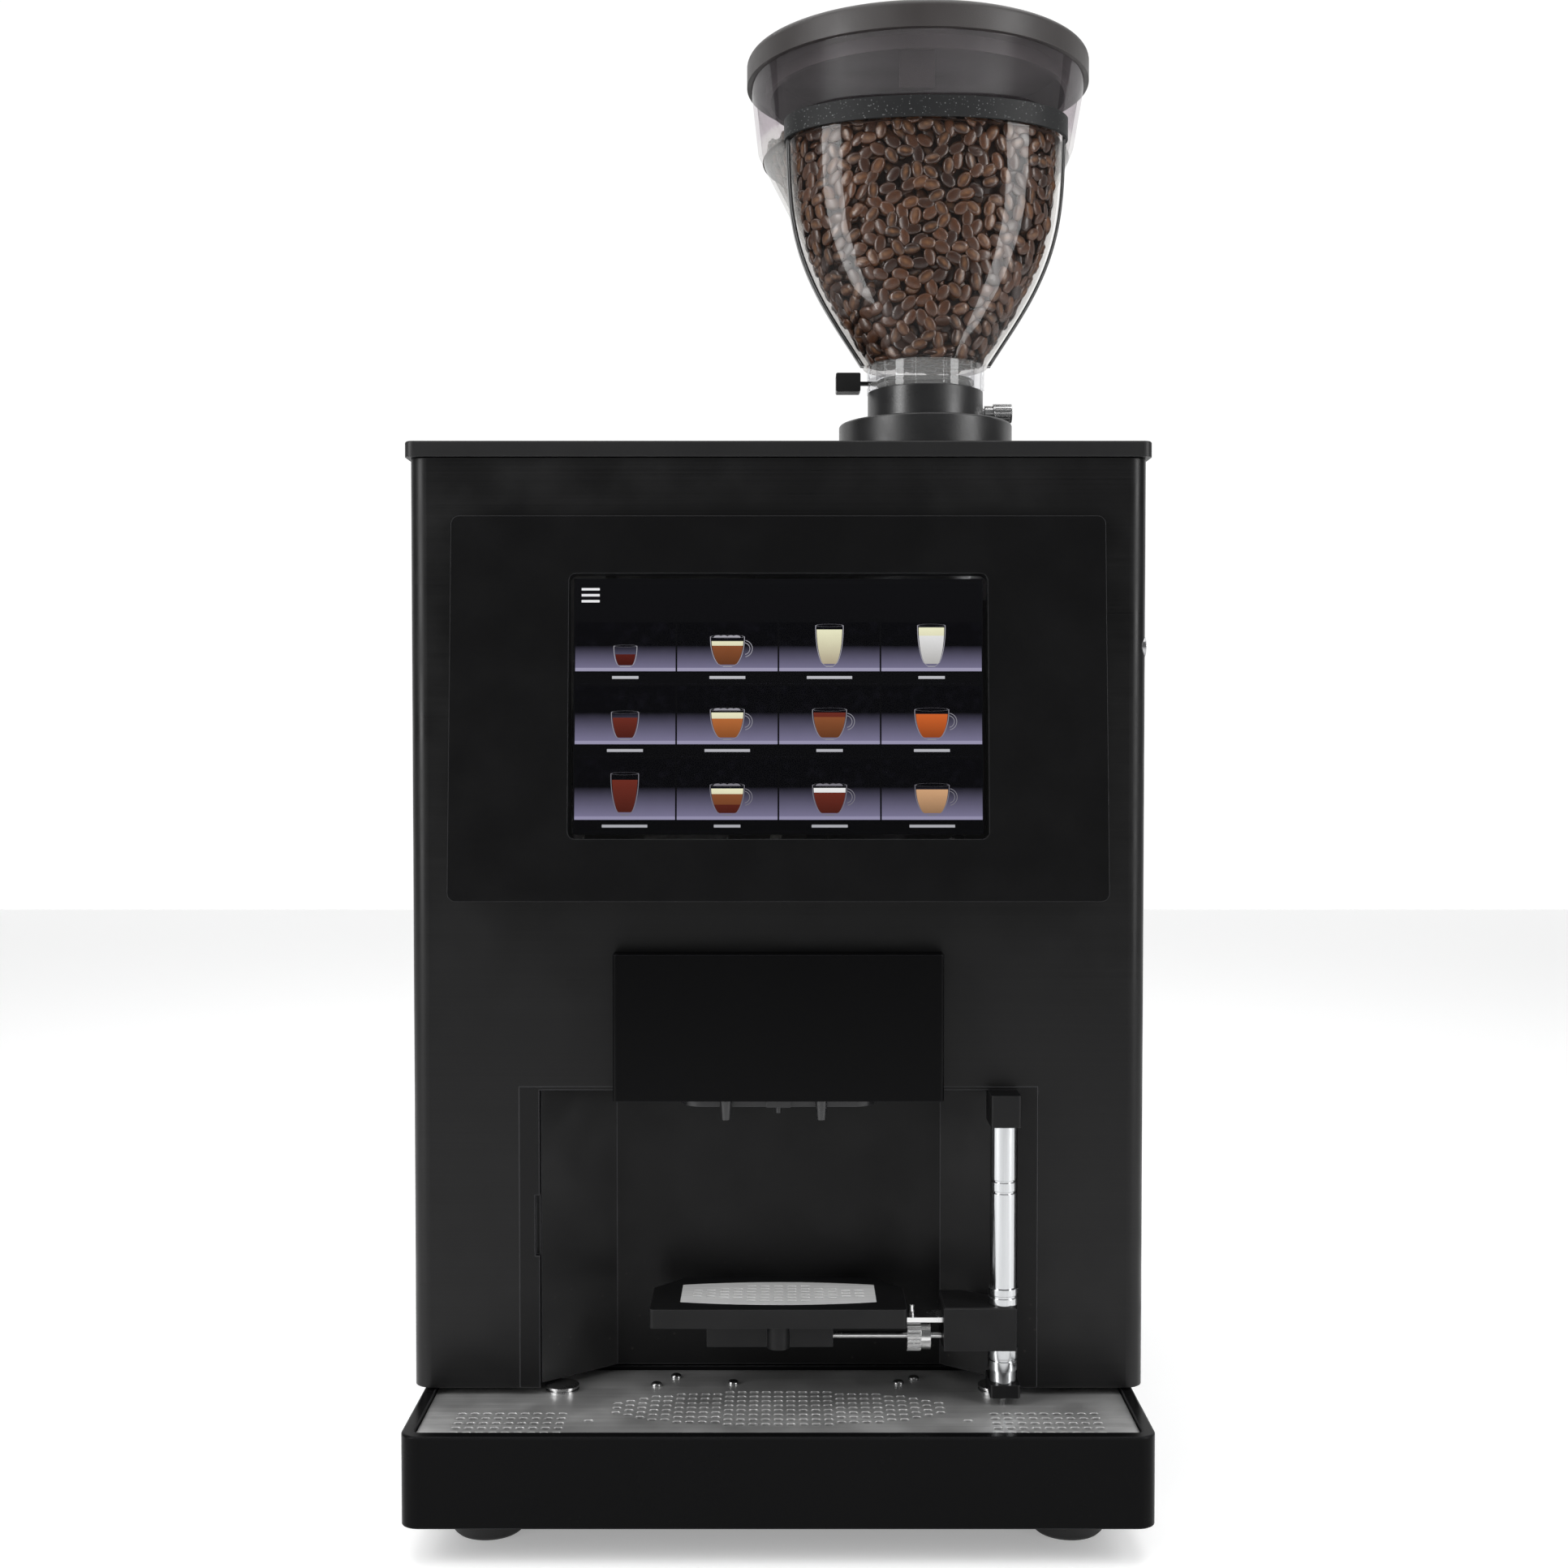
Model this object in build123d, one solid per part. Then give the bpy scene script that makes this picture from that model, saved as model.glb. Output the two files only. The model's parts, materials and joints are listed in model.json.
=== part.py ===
from build123d import *
import math
import os

# Bean-to-cup coffee vending machine, in millimetres.
# It stands on its feet at z = 0, is centred on x = 0, faces -Y and has its back at +Y.

# ------------------------------------------------------------------ driving dimensions

# cabinet
body_width = 396.0
body_depth = 480.0
door_height = 501.5
sheet = 1.5  # cabinet and door steel
plate = 2.0  # brackets, decks and inner walls
slide_gap = 0.5  # between pieces that pass each other
fit_gap = 0.05  # radial clearance of a shaft in its bore
cover_height = 8.5
cover_overhang = 2.0
foot_radius = 19.0
foot_height = 18.0
foot_side = 44.0  # centre of a foot inside the body's side
foot_inset = 51.0  # front feet behind the tray's front, rear feet before the back
base_inset = 18.0
plinth_inset = 8.0
wrap_bend = 6.0  # outside radius of the cabinet's rear corners
deck_setback = 52.0  # front of the deck behind the door's face
post_size = 12.0
wall_setback = 250.0  # the mounting wall behind the door's face
stub_reach = 15.0  # water stub behind the cabinet
stub_radius = 13.2  # outside of a three-quarter inch pipe thread

# door
door_thickness = 18.0
door_edge_radius = 10.0
wrap_setback = 22.6
hinge_barrel = 2.9
hinge_pin = 1.5
hinge_length = 60.0
hinge_leaf = 16.0
hinge_levels = (110.0, 470.0)
latch_level = 470.0
latch_arm = 24.0
latch_radius = 5.5

# touch screen
bezel_width = 348.0
bezel_height = 204.0
bezel_bottom = 335.0
bezel_top_reach = 6.0
bezel_tilt = 5.0
bezel_corner = 4.5
screen_width = 217.0
screen_height = 136.0
screen_level = 438.0
screen_border = 2.5
glass_thickness = 1.8
glass_recess = 0.8

# nose and nozzles
nose_half = 88.0
nose_reach = 16.0
nose_bottom = 228.0
nose_height = 78.0
nozzle_x = (-28.0, 23.0)
nozzle_setout = 9.0  # nozzle tips before the door's face
nozzle_length = 11.0
stadium_length = 105.0
stadium_width = 24.0
stadium_height = 5.2
funnel_half = 44.0
funnel_top = 300.0
funnel_depth = 46.0

# cup recess
recess_half = 140.0
recess_top = 231.0
strip_inner = 129.0
strip_depth = 8.0
recess_back_half = 90.5
recess_depth = 38.0

# cup carriage
rod_x = 120.5
rod_setout = 8.5
rod_radius = 7.0
rod_top = 214.0
foot_block_height = 7.0
carriage_bottom = 95.0
carriage_height = 23.0
carriage_left = 88.0
carriage_right = 6.1  # right of the rod's axis
collar_wall = 1.0
platform_half = 68.0
platform_front = 27.0
platform_back = 31.0
platform_top = 120.0
platform_height = 10.0
insert_half = 52.5
insert_thickness = 1.4
bracket_x = (-38.0, 29.0)
knob_x = (69.0, 81.5)
knob_radius = 8.2
link_radius = 1.75
link_level = 100.0
link_setout = 6.0

# drip tray
tray_inset = 5.5  # each side of the tray inside the body
tray_reach = 67.0
tray_setback = 46.0
tray_height = 47.0
tray_rim = 6.5
tray_wall = 3.0
tray_corner = 10.0
door_gap = 1.5
grid_drop = 2.5
grid_thickness = 2.5
slot_length = 5.2
slot_width = 3.4
slot_pitch_x = 6.6
slot_pitch_y = 6.7

# bean hopper
neck_x = 86.6
neck_setback = 110.0
mount_radius = 51.0
mount_height = 25.5
neck_radius = 34.0
neck_height = 19.0
collar_height = 15.0
throat = 22.0
spigot_radius = 27.0
spigot_depth = 14.0
gate_half = 22.0
shell_wall = 2.5
shoulder_radius = 97.0
shoulder_x = 84.0
shoulder_setback = 164.0
shoulder_rise = 143.0  # shoulder above the collar's top
mouth_radius = 101.0
mouth_setback = 148.0
mouth_rise = 33.0  # mouth above the shoulder
bowl_half_width = 82.0
bowl_reach = 45.0
ring_height = 12.0
ring_proud = 1.6
lid_radius = 103.5
lid_height = 16.0
lid_dome = 4.5

# grinder
grinder_radius = 45.0
grinder_bottom = 500.0
grinder_wall = 5.0
burr_radius = 32.0
grinder_shaft = 5.0
motor_radius = 32.0
chute_x = (56.0, 80.0)

# brewing
brew_x = 60.0
brew_setback = 160.0
brew_outer = 30.0
brew_bore = 25.0
brew_levels = (300.0, 385.0)
piston_height = 12.0
piston_rod = 6.0

# powders
canister_x = (-138.0, -54.0)
canister_half = 38.0
canister_setback = (80.0, 240.0)
canister_levels = (412.0, 556.0)
auger_level = 426.0
auger_radius = 10.5
bowl_setback = 66.0
bowl_levels = (348.0, 392.0)
whipper_level = 332.0
whipper_chamber = 17.0

# services at the back
boiler_radius = 55.0
boiler_x = -95.0
boiler_setback = 345.0
boiler_levels = (125.0, 315.0)
boiler_stub = 14.0
hot_level = 347.0
water_x = 140.0
water_level = 120.0
inlet_x = (-150.0, -102.0)
inlet_z = (95.0, 122.0)
switch_x = (-90.0, -70.0)
switch_z = (94.0, 123.0)
pipe_radius = 3.0
pipe_bend = 9.0
fan_size = 80.0
fan_x = -80.0
fan_level = 470.0
fan_depth = 25.0

# ------------------------------------------------------------------ levels and planes

FRONT = tray_reach - (tray_reach + body_depth + stub_reach) / 2  # the door's face
BACK = FRONT + body_depth
HALF = body_width / 2
TRAY_HALF = HALF - tray_inset
BASE_HALF = HALF - base_inset
PLINTH_HALF = HALF - plinth_inset
Z_BASE = foot_height + plate
Z_TRAY = Z_BASE + slide_gap
Z_TRAY_TOP = Z_TRAY + tray_height
Z_DOOR = Z_TRAY_TOP + door_gap
Z_DECK = Z_DOOR - 1.0
Z_DOOR_TOP = Z_DOOR + door_height
Z_COVER = Z_DOOR_TOP + slide_gap
Z_COVER_TOP = Z_COVER + cover_height
Z_MOUNT_TOP = Z_COVER_TOP + mount_height
Z_NECK_TOP = Z_MOUNT_TOP + neck_height
Z_COLLAR_TOP = Z_NECK_TOP + collar_height
Z_SHOULDER = Z_COLLAR_TOP + shoulder_rise
Z_MOUTH = Z_SHOULDER + mouth_rise

HINGE_X = -HALF + 1.0
HINGE_Y = FRONT + door_thickness + 1.8
WRAP_FRONT = FRONT + wrap_setback
COLLAR_RADIUS = rod_radius + collar_wall
WALL_Y = FRONT + wall_setback
ROD_Y = FRONT - rod_setout
NECK_Y = FRONT + neck_setback
BREW_Y = FRONT + brew_setback
BOILER_Y = FRONT + boiler_setback
PUMP_LEVEL = Z_DECK + 20
LATCH_Y = FRONT + door_thickness / 2
CLAMP_LEVEL = Z_NECK_TOP - 11.5
GATE_LEVEL = Z_NECK_TOP + 5.0
INSERT_Y = FRONT + 2.0
CHUTE_Y = (NECK_Y + 38.0, NECK_Y + 62.0)
INNER_HALF = HALF - sheet
POST_INNER = INNER_HALF - 0.5 - post_size


# ------------------------------------------------------------------ shape helpers


def block(x, y, z):
    """A box between the low and high of each axis."""
    size = Box(x[1] - x[0], y[1] - y[0], z[1] - z[0])
    return Pos((x[0] + x[1]) / 2, (y[0] + y[1]) / 2, (z[0] + z[1]) / 2) * size


def post(radius, x, y, z):
    """A cylinder along Z."""
    return Pos(x, y, (z[0] + z[1]) / 2) * Cylinder(radius, z[1] - z[0])


def bar_x(radius, x, y, z):
    """A cylinder along X."""
    return Pos((x[0] + x[1]) / 2, y, z) * Rot(0, 90, 0) * Cylinder(radius, x[1] - x[0])


def bar_y(radius, x, y, z):
    """A cylinder along Y."""
    return Pos(x, (y[0] + y[1]) / 2, z) * Rot(90, 0, 0) * Cylinder(radius, y[1] - y[0])


def tube(outer, inner, x, y, z):
    """A ring along Z."""
    return post(outer, x, y, z) - post(inner, x, y, z)


def cone(bottom, top, x, y, z):
    """A cone along Z."""
    return Pos(x, y, (z[0] + z[1]) / 2) * Cone(bottom, top, z[1] - z[0])


def prism_z(outline, z):
    """A plan outline of straight sides, raised from the first level to the second."""
    corners = [(x, y, z[0]) for x, y in outline]
    return extrude(make_face(Polyline(*corners, close=True)), amount=z[1] - z[0], dir=(0, 0, 1))


def prism_y(outline, y):
    """An outline in X and Z, extruded along Y."""
    corners = [(x, y[0], z) for x, z in outline]
    return extrude(make_face(Polyline(*corners, close=True)), amount=y[1] - y[0], dir=(0, 1, 0))


def upright_edges(solid, x_min, y_max):
    """Edges along Z that lie at least x_min from the middle and no further back than y_max."""
    edges = solid.edges().filter_by(Axis.Z)
    return [e for e in edges if abs(e.center().X) >= x_min and e.center().Y <= y_max]


def group(solids):
    """Separate solids of one kind, kept in one node."""
    return Compound(children=list(solids))


def pipe(points):
    """A tube of straight runs joined by arcs, with a round section."""
    path = FilletPolyline(*points, radius=pipe_bend)
    return sweep(Plane(path @ 0, z_dir=path % 0) * Circle(pipe_radius), path=path)


# ------------------------------------------------------------------ cabinet


def make_base_frame():
    """Sheet base: a plate under the tray, a plinth behind it and the deck on the plinth."""
    rear = BACK - sheet
    skirt_front = FRONT + deck_setback
    border = 40.0
    floor = block((-BASE_HALF, BASE_HALF), (FRONT - tray_reach + 9, rear), (foot_height, Z_BASE))
    cutout = block(
        (-BASE_HALF + border, BASE_HALF - border),
        (skirt_front + border, rear - 2 * border),
        (foot_height - 1, Z_BASE + 1),
    )
    skirt = block((-PLINTH_HALF, PLINTH_HALF), (skirt_front, rear), (Z_BASE, Z_DECK))
    hollow = block(
        (-PLINTH_HALF + plate, PLINTH_HALF - plate),
        (skirt_front + plate, rear - plate),
        (Z_BASE - 1, Z_DECK - plate),
    )
    deck = block((-INNER_HALF, INNER_HALF), (skirt_front, rear), (Z_DECK - plate, Z_DECK))
    deck = fillet([e for e in deck.edges().filter_by(Axis.Z) if e.center().Y > 0], wrap_bend)
    return (floor - cutout) + (skirt - hollow) + deck


def make_feet():
    """Four round feet with a chamfered underside."""
    solids = []
    for x in (foot_side - HALF, HALF - foot_side):
        for y in (FRONT - tray_reach + foot_inset, BACK - foot_inset):
            foot = post(foot_radius, x, y, (0, foot_height))
            solids.append(chamfer(foot.edges().group_by(Axis.Z)[0], 1.5))
    return group(solids)


def make_cabinet_wrap():
    """One folded sheet: both sides and the back, with the openings in the back."""
    outer = block((-HALF, HALF), (WRAP_FRONT, BACK), (Z_DECK - plate, Z_COVER))
    back_edges = [e for e in outer.edges().filter_by(Axis.Z) if e.center().Y > 0]
    outer = fillet(back_edges, wrap_bend)
    inner = block((-INNER_HALF, INNER_HALF), (WRAP_FRONT - 1, BACK - sheet), (0, Z_COVER + 1))
    back_edges = [e for e in inner.edges().filter_by(Axis.Z) if e.center().Y > 0]
    inner = fillet(back_edges, wrap_bend - sheet)
    wrap = outer - inner
    for level in hinge_levels:
        wrap -= block(
            (-HALF - 1, -POST_INNER),
            (WRAP_FRONT - 1, HINGE_Y + hinge_barrel + 0.8),
            (level - 1, level + hinge_length + 1),
        )
    wrap -= bar_y(14.0, water_x, (BACK - 5, BACK + 5), water_level)
    wrap -= block(inlet_x, (BACK - 5, BACK + 5), inlet_z)
    wrap -= block(switch_x, (BACK - 5, BACK + 5), switch_z)
    for step in range(-5, 6):
        reach = math.sqrt(36.0**2 - (step * 6.4) ** 2)
        level = fan_level + step * 6.4
        slot = Rot(90, 0, 0) * extrude(SlotOverall(2 * reach, 3.4), amount=5, both=True)
        wrap -= Pos(fan_x, BACK, level) * slot
    for row in range(8):
        slot = Rot(90, 0, 0) * extrude(SlotOverall(90.0, 4.0), amount=5, both=True)
        wrap -= Pos(95, BACK, 420 + row * 10) * slot
    return wrap


def make_top_cover():
    """Pressed top cover with a rim that rests on the wrap and a throat for the beans."""
    y = (FRONT - 1.5, BACK + 1.0)
    half = HALF + cover_overhang
    cover = block((-half, half), y, (Z_COVER, Z_COVER_TOP))
    cover = fillet(cover.edges().filter_by(Axis.Z), 5.0)
    cover = fillet(cover.edges().group_by(Axis.Z)[-1], 1.2)
    cover -= block(
        (-POST_INNER - 6, POST_INNER + 6),
        (FRONT + deck_setback - 6, BACK - 8),
        (Z_COVER - 1, Z_COVER_TOP - plate),
    )
    return cover - post(throat, neck_x, NECK_Y, (Z_COVER - 1, Z_COVER_TOP + 1))


def make_chassis_frame():
    """Four posts, the top ring, the mounting wall and the strike of the door latch."""
    posts_y = (
        (FRONT + deck_setback - post_size, FRONT + deck_setback),
        (BACK - sheet - post_size, BACK - sheet),
    )
    side = (POST_INNER, POST_INNER + post_size)
    rail_end = post_size / 2
    frame = block((-side[1], side[1]), (WALL_Y, WALL_Y + plate), (Z_DECK, Z_COVER))
    for low, high in (side, (-side[1], -side[0])):
        frame += block((low, high), posts_y[0], (Z_DECK, Z_COVER))
        rear_post = block((low, high), posts_y[1], (Z_DECK, Z_COVER))
        frame += fillet(rear_post.edges().filter_by(Axis.Z), wrap_bend - 1)
        frame += block((low, high), (posts_y[0][0], posts_y[1][0] + rail_end), (Z_COVER - post_size, Z_COVER))
    for y in posts_y:
        rail = (-side[0] - rail_end, side[0] + rail_end)
        frame += block(rail, y, (Z_COVER - post_size, Z_COVER))
    for x in canister_x:
        frame -= bar_y(8.0, x, (WALL_Y - 1, WALL_Y + plate + 1), auger_level)
        frame -= bar_y(8.0, x, (WALL_Y - 1, WALL_Y + plate + 1), whipper_level)
    frame -= bar_y(8.0, brew_x + 60, (WALL_Y - 1, WALL_Y + plate + 1), hot_level)
    strike_y = FRONT + 24
    frame += block((168, 180.5), (strike_y, strike_y + plate), (latch_level - 22, latch_level + 4))
    frame += block((168, POST_INNER + 4), (strike_y, posts_y[0][1]), (latch_level - 24, latch_level - 22))
    return frame


def hinge_half(level, leaf_y, knuckles, leaf_y_clear):
    """One leaf of a hinge with its knuckles; the leaf stands back where the other half turns."""
    x = (-INNER_HALF, -INNER_HALF + plate)
    half = block(x, leaf_y_clear, (level, level + hinge_length))
    for z in knuckles:
        half += block(x, leaf_y, z)
        half += post(hinge_barrel, HINGE_X, HINGE_Y, z)
    return half


def make_cabinet_hinges():
    """The fixed halves of both hinges, each with its pin."""
    solids = []
    clear = hinge_barrel + 0.6
    for level in hinge_levels:
        third = hinge_length / 3
        knuckles = ((level, level + third - 0.3), (level + 2 * third + 0.3, level + hinge_length))
        far = HINGE_Y + hinge_leaf + 4
        half = hinge_half(level, (HINGE_Y, far), knuckles, (HINGE_Y + clear, far))
        half += post(hinge_pin, HINGE_X, HINGE_Y, (level, level + hinge_length))
        solids.append(half)
    return group(solids)


def make_power_inlet():
    """Appliance inlet with its socket well and blades, and the housing of the power switch."""
    y = (BACK - 24, BACK + 3)
    body = block((inlet_x[0] + 0.2, inlet_x[1] - 0.2), y, (inlet_z[0] + 0.2, inlet_z[1] - 0.2))
    flange = block((inlet_x[0] - 5, inlet_x[1] + 5), (BACK, BACK + 3), (inlet_z[0] - 3, inlet_z[1] + 3))
    middle_x = (inlet_x[0] + inlet_x[1]) / 2
    middle_z = (inlet_z[0] + inlet_z[1]) / 2
    well = block((middle_x - 12, middle_x + 12), (BACK - 14, BACK + 4), (middle_z - 8, middle_z + 8))
    inlet = body + flange - well
    for dx, dz in ((-7, -2), (0, 3), (7, -2)):
        x = middle_x + dx
        z = middle_z + dz
        inlet += block((x - 1, x + 1), (BACK - 15, BACK - 2), (z - 2, z + 2))
    frame = block((switch_x[0] - 3, switch_x[1] + 3), (BACK, BACK + 2), (switch_z[0] - 3, switch_z[1] + 3))
    frame += block(
        (switch_x[0] + 0.2, switch_x[1] - 0.2), (BACK - 24, BACK + 2), (switch_z[0] + 0.2, switch_z[1] - 0.2)
    )
    rocker_well = block(
        (switch_x[0] + 0.35, switch_x[1] - 0.35), (BACK - 8, BACK + 3), (switch_z[0] + 0.8, switch_z[1] - 0.8)
    )
    return group([inlet, frame - rocker_well])


def make_power_switch():
    """Rocker on its round hub, resting with its upper half pushed in."""
    x = (switch_x[0] + 0.6, switch_x[1] - 0.6)
    level = (switch_z[0] + switch_z[1]) / 2
    rocker = Rot(8, 0, 0) * Box(x[1] - x[0], 8, switch_z[1] - switch_z[0] - 3.2)
    hub = bar_x(4.8, x, BACK + 0.5, level)
    return Pos((x[0] + x[1]) / 2, BACK + 0.5, level) * rocker + hub


def make_water_inlet():
    """Inlet valve inside the back with its threaded stub outside."""
    stub = bar_y(stub_radius, water_x, (BACK, BACK + stub_reach), water_level)
    neck = bar_y(stub_radius - 1.2, water_x, (BACK - 12, BACK), water_level)
    body = block((water_x - 18, water_x + 18), (BACK - 52, BACK - 12), (water_level - 18, water_level + 18))
    coil = post(13.0, water_x, BACK - 32, (water_level + 18, water_level + 46))
    bore = bar_y(8.0, water_x, (BACK - 10, BACK + stub_reach + 1), water_level)
    return stub + neck + body + coil - bore


def make_fan_housing():
    """Square fan frame with a round duct and a three-armed spider that holds the hub."""
    half = fan_size / 2
    y = (BACK - sheet - fan_depth, BACK - sheet)
    frame = block((fan_x - half, fan_x + half), y, (fan_level - half, fan_level + half))
    frame -= bar_y(half - 2, fan_x, (y[0] - 1, y[1] + 1), fan_level)
    for step in range(3):
        arm = Pos(fan_x, y[0] + 1.5, fan_level) * Rot(0, 120 * step + 30, 0)
        frame += arm * Pos(half / 2, 0, 0) * Box(half, 3, 4)
    return frame + bar_y(12.0, fan_x, (y[0], y[0] + 3), fan_level)


def make_fan_rotor():
    """Hub with seven pitched blades."""
    y = (BACK - sheet - fan_depth + 4, BACK - sheet - 3)
    middle = (y[0] + y[1]) / 2
    rotor = bar_y(12.0, fan_x, y, fan_level)
    for step in range(7):
        turn = Pos(fan_x, middle, fan_level) * Rot(0, 360 / 7 * step, 0)
        rotor += turn * Pos(23, 0, 0) * Rot(35, 0, 0) * Box(26, 1.6, 17)
    return rotor


def make_boiler():
    """Vertical pressure vessel with domed ends, strapped to the mounting wall."""
    y = BOILER_Y
    low, high = boiler_levels
    vessel = post(boiler_radius, boiler_x, y, boiler_levels)
    vessel = fillet(vessel.edges().filter_by(GeomType.CIRCLE), 22.0)
    for level in (low + 45, high - 60):
        vessel += block((boiler_x - 12, boiler_x + 12), (WALL_Y + plate, y), (level, level + 15))
    vessel += post(7.0, boiler_x, y, (high - 5, high + boiler_stub))
    return vessel + post(7.0, boiler_x, y, (low - boiler_stub, low + 5))


def make_pump():
    """Vibration pump on its bracket, standing on the deck."""
    y = BOILER_Y
    pump = block((30, 90), (y - 22, y + 22), (Z_DECK, Z_DECK + 4))
    pump += block((38, 82), (y - 20, y + 20), (Z_DECK + 4, Z_DECK + 44))
    pump += bar_x(10.0, (20, 38), y, PUMP_LEVEL)
    return pump + bar_x(8.0, (82, 100), y, PUMP_LEVEL)


def make_power_supply():
    """Closed supply unit on the back of the mounting wall."""
    y = (WALL_Y + plate, WALL_Y + plate + 48)
    unit = block((60, 160), y, (170, 330))
    for row in range(9):
        unit -= block((70, 150), (y[1] - 3, y[1] + 1), (190 + row * 14, 195 + row * 14))
    return unit


def make_control_board():
    """Main board on four spacers, with its chips, relays and connectors."""
    y = WALL_Y + plate + 10
    board = block((20, 170), (y, y + 1.6), (360, 540))
    for x in (30, 160):
        for z in (370, 530):
            board += bar_y(3.0, x, (WALL_Y + plate, y), z)
    for column in range(4):
        left = 34 + column * 32
        board += block((left, left + 18), (y, y + 15), (375, 390))
        board += block((left, left + 12), (y, y + 12), (500, 520))
    board += block((70, 105), (y, y + 4), (430, 465))
    return board + block((130, 150), (y, y + 20), (430, 450))


def make_pipework():
    """Water lines behind the wall, the hot line through it, and the three drink outlets."""
    to_pump = pipe(
        [
            (water_x, BACK - 52, water_level),
            (water_x, BOILER_Y, water_level),
            (water_x, BOILER_Y, PUMP_LEVEL),
            (100, BOILER_Y, PUMP_LEVEL),
        ]
    )
    to_boiler = pipe(
        [
            (20, BOILER_Y, PUMP_LEVEL),
            (boiler_x, BOILER_Y, PUMP_LEVEL),
            (boiler_x, BOILER_Y, boiler_levels[0] - boiler_stub),
        ]
    )
    hot_x = brew_x + 60
    to_brewer = pipe(
        [
            (boiler_x, BOILER_Y, boiler_levels[1] + boiler_stub),
            (boiler_x, BOILER_Y, hot_level),
            (hot_x, BOILER_Y, hot_level),
            (hot_x, BREW_Y, hot_level),
            (brew_x + brew_outer, BREW_Y, hot_level),
        ]
    )
    end_z = funnel_top + 6
    end_y = FRONT + funnel_depth / 2 + 2
    outlets = []
    for x, end_x, rise in zip(canister_x, nozzle_x, (9, -9)):
        level = whipper_level + rise
        start = FRONT + bowl_setback
        outlets.append(
            pipe(
                [
                    (x, start, level),
                    (x, start - 12, level),
                    (end_x, start - 12, level),
                    (end_x, end_y, level),
                    (end_x, end_y, end_z),
                ]
            )
        )
    coffee_z = brew_levels[1] - 13
    coffee_y = FRONT + funnel_depth - 10
    outlets.append(
        pipe(
            [
                (brew_x, BREW_Y - brew_outer, coffee_z),
                (brew_x, coffee_y, coffee_z),
                (-2, coffee_y, coffee_z),
                (-2, coffee_y, end_z),
            ]
        )
    )
    return group([to_pump, to_boiler, to_brewer] + outlets)


# ------------------------------------------------------------------ grinder and brewing


def make_grinder_housing():
    """Burr housing under the cover, with its throat, shaft bore, lever slot and side outlet."""
    z = (grinder_bottom, Z_COVER_TOP - plate)
    housing = post(grinder_radius, neck_x, NECK_Y, z)
    housing += block(chute_x, (NECK_Y, CHUTE_Y[1]), (z[0], z[0] + 28))
    housing -= post(grinder_radius - grinder_wall, neck_x, NECK_Y, (z[0] + 8, z[1] - 10))
    housing -= post(throat, neck_x, NECK_Y, (z[1] - 11, z[1] + 1))
    housing -= post(grinder_shaft + fit_gap, neck_x, NECK_Y, (z[0] - 1, z[0] + 9))
    housing -= block(
        (neck_x - 26, neck_x + 26),
        (NECK_Y - grinder_radius - 1, NECK_Y - 30),
        (z[0] + 44, z[0] + 54),
    )
    inner_x = (chute_x[0] + plate, chute_x[1] - plate)
    housing -= block(inner_x, (NECK_Y + 20, CHUTE_Y[1] - plate), (z[0] + 10, z[0] + 22))
    return housing - block(inner_x, (CHUTE_Y[0] + plate, CHUTE_Y[1] - plate), (z[0] - 1, z[0] + 22))


def make_lower_burr():
    """Toothed lower burr on the motor shaft."""
    z = (grinder_bottom + 12, grinder_bottom + 22)
    burr = post(burr_radius, neck_x, NECK_Y, z)
    for step in range(16):
        tooth = Pos(neck_x, NECK_Y, z[1]) * Rot(0, 0, 22.5 * step) * Rot(45, 0, 0)
        burr -= tooth * Pos(20, 0, 0) * Box(30, 2, 2)
    return burr + post(grinder_shaft, neck_x, NECK_Y, (grinder_bottom - 1.5, z[0]))


def make_grind_adjuster():
    """Upper burr carrier that turns in the housing, with its lever."""
    z = (grinder_bottom + 24, Z_COVER_TOP - plate - 10.5)
    ring = tube(grinder_radius - grinder_wall - 1.5, throat, neck_x, NECK_Y, z)
    lever = (NECK_Y - grinder_radius - 12, NECK_Y - 30)
    return ring + block((neck_x - 3, neck_x + 3), lever, (grinder_bottom + 46, grinder_bottom + 52))


def make_coffee_chute():
    """Square chute from the grinder's outlet down to the brew chamber."""
    z = (brew_levels[1] + 5, grinder_bottom + 3)
    outer = block(chute_x, CHUTE_Y, (z[0], grinder_bottom))
    inner = block(
        (chute_x[0] + plate, chute_x[1] - plate),
        (CHUTE_Y[0] + plate, CHUTE_Y[1] - plate),
        (z[0] - 1, z[1] + 1),
    )
    return outer - inner


def make_brew_unit():
    """Open brew chamber on a bracket from the mounting wall."""
    floor = brew_levels[0]
    unit = block((brew_x - 42, brew_x + 42), (BREW_Y - 42, WALL_Y), (floor - 5, floor))
    unit += block((brew_x - 42, brew_x + 42), (WALL_Y - 5, WALL_Y), (floor - 60, floor + 60))
    unit += post(brew_outer, brew_x, BREW_Y, brew_levels)
    unit -= post(brew_bore, brew_x, BREW_Y, (floor, brew_levels[1] + 1))
    return unit - post(piston_rod + fit_gap, brew_x, BREW_Y, (floor - 6, floor + 1))


def make_brew_piston():
    """Piston with two sealing grooves and its rod."""
    base = brew_levels[0] + 5
    piston = post(brew_bore - fit_gap, brew_x, BREW_Y, (base, base + piston_height))
    for level in (base + 3, base + 7):
        piston -= tube(brew_bore + 1, brew_bore - 1.5, brew_x, BREW_Y, (level, level + 1.6))
    return piston + post(piston_rod, brew_x, BREW_Y, (brew_levels[0] - 52, base))


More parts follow.
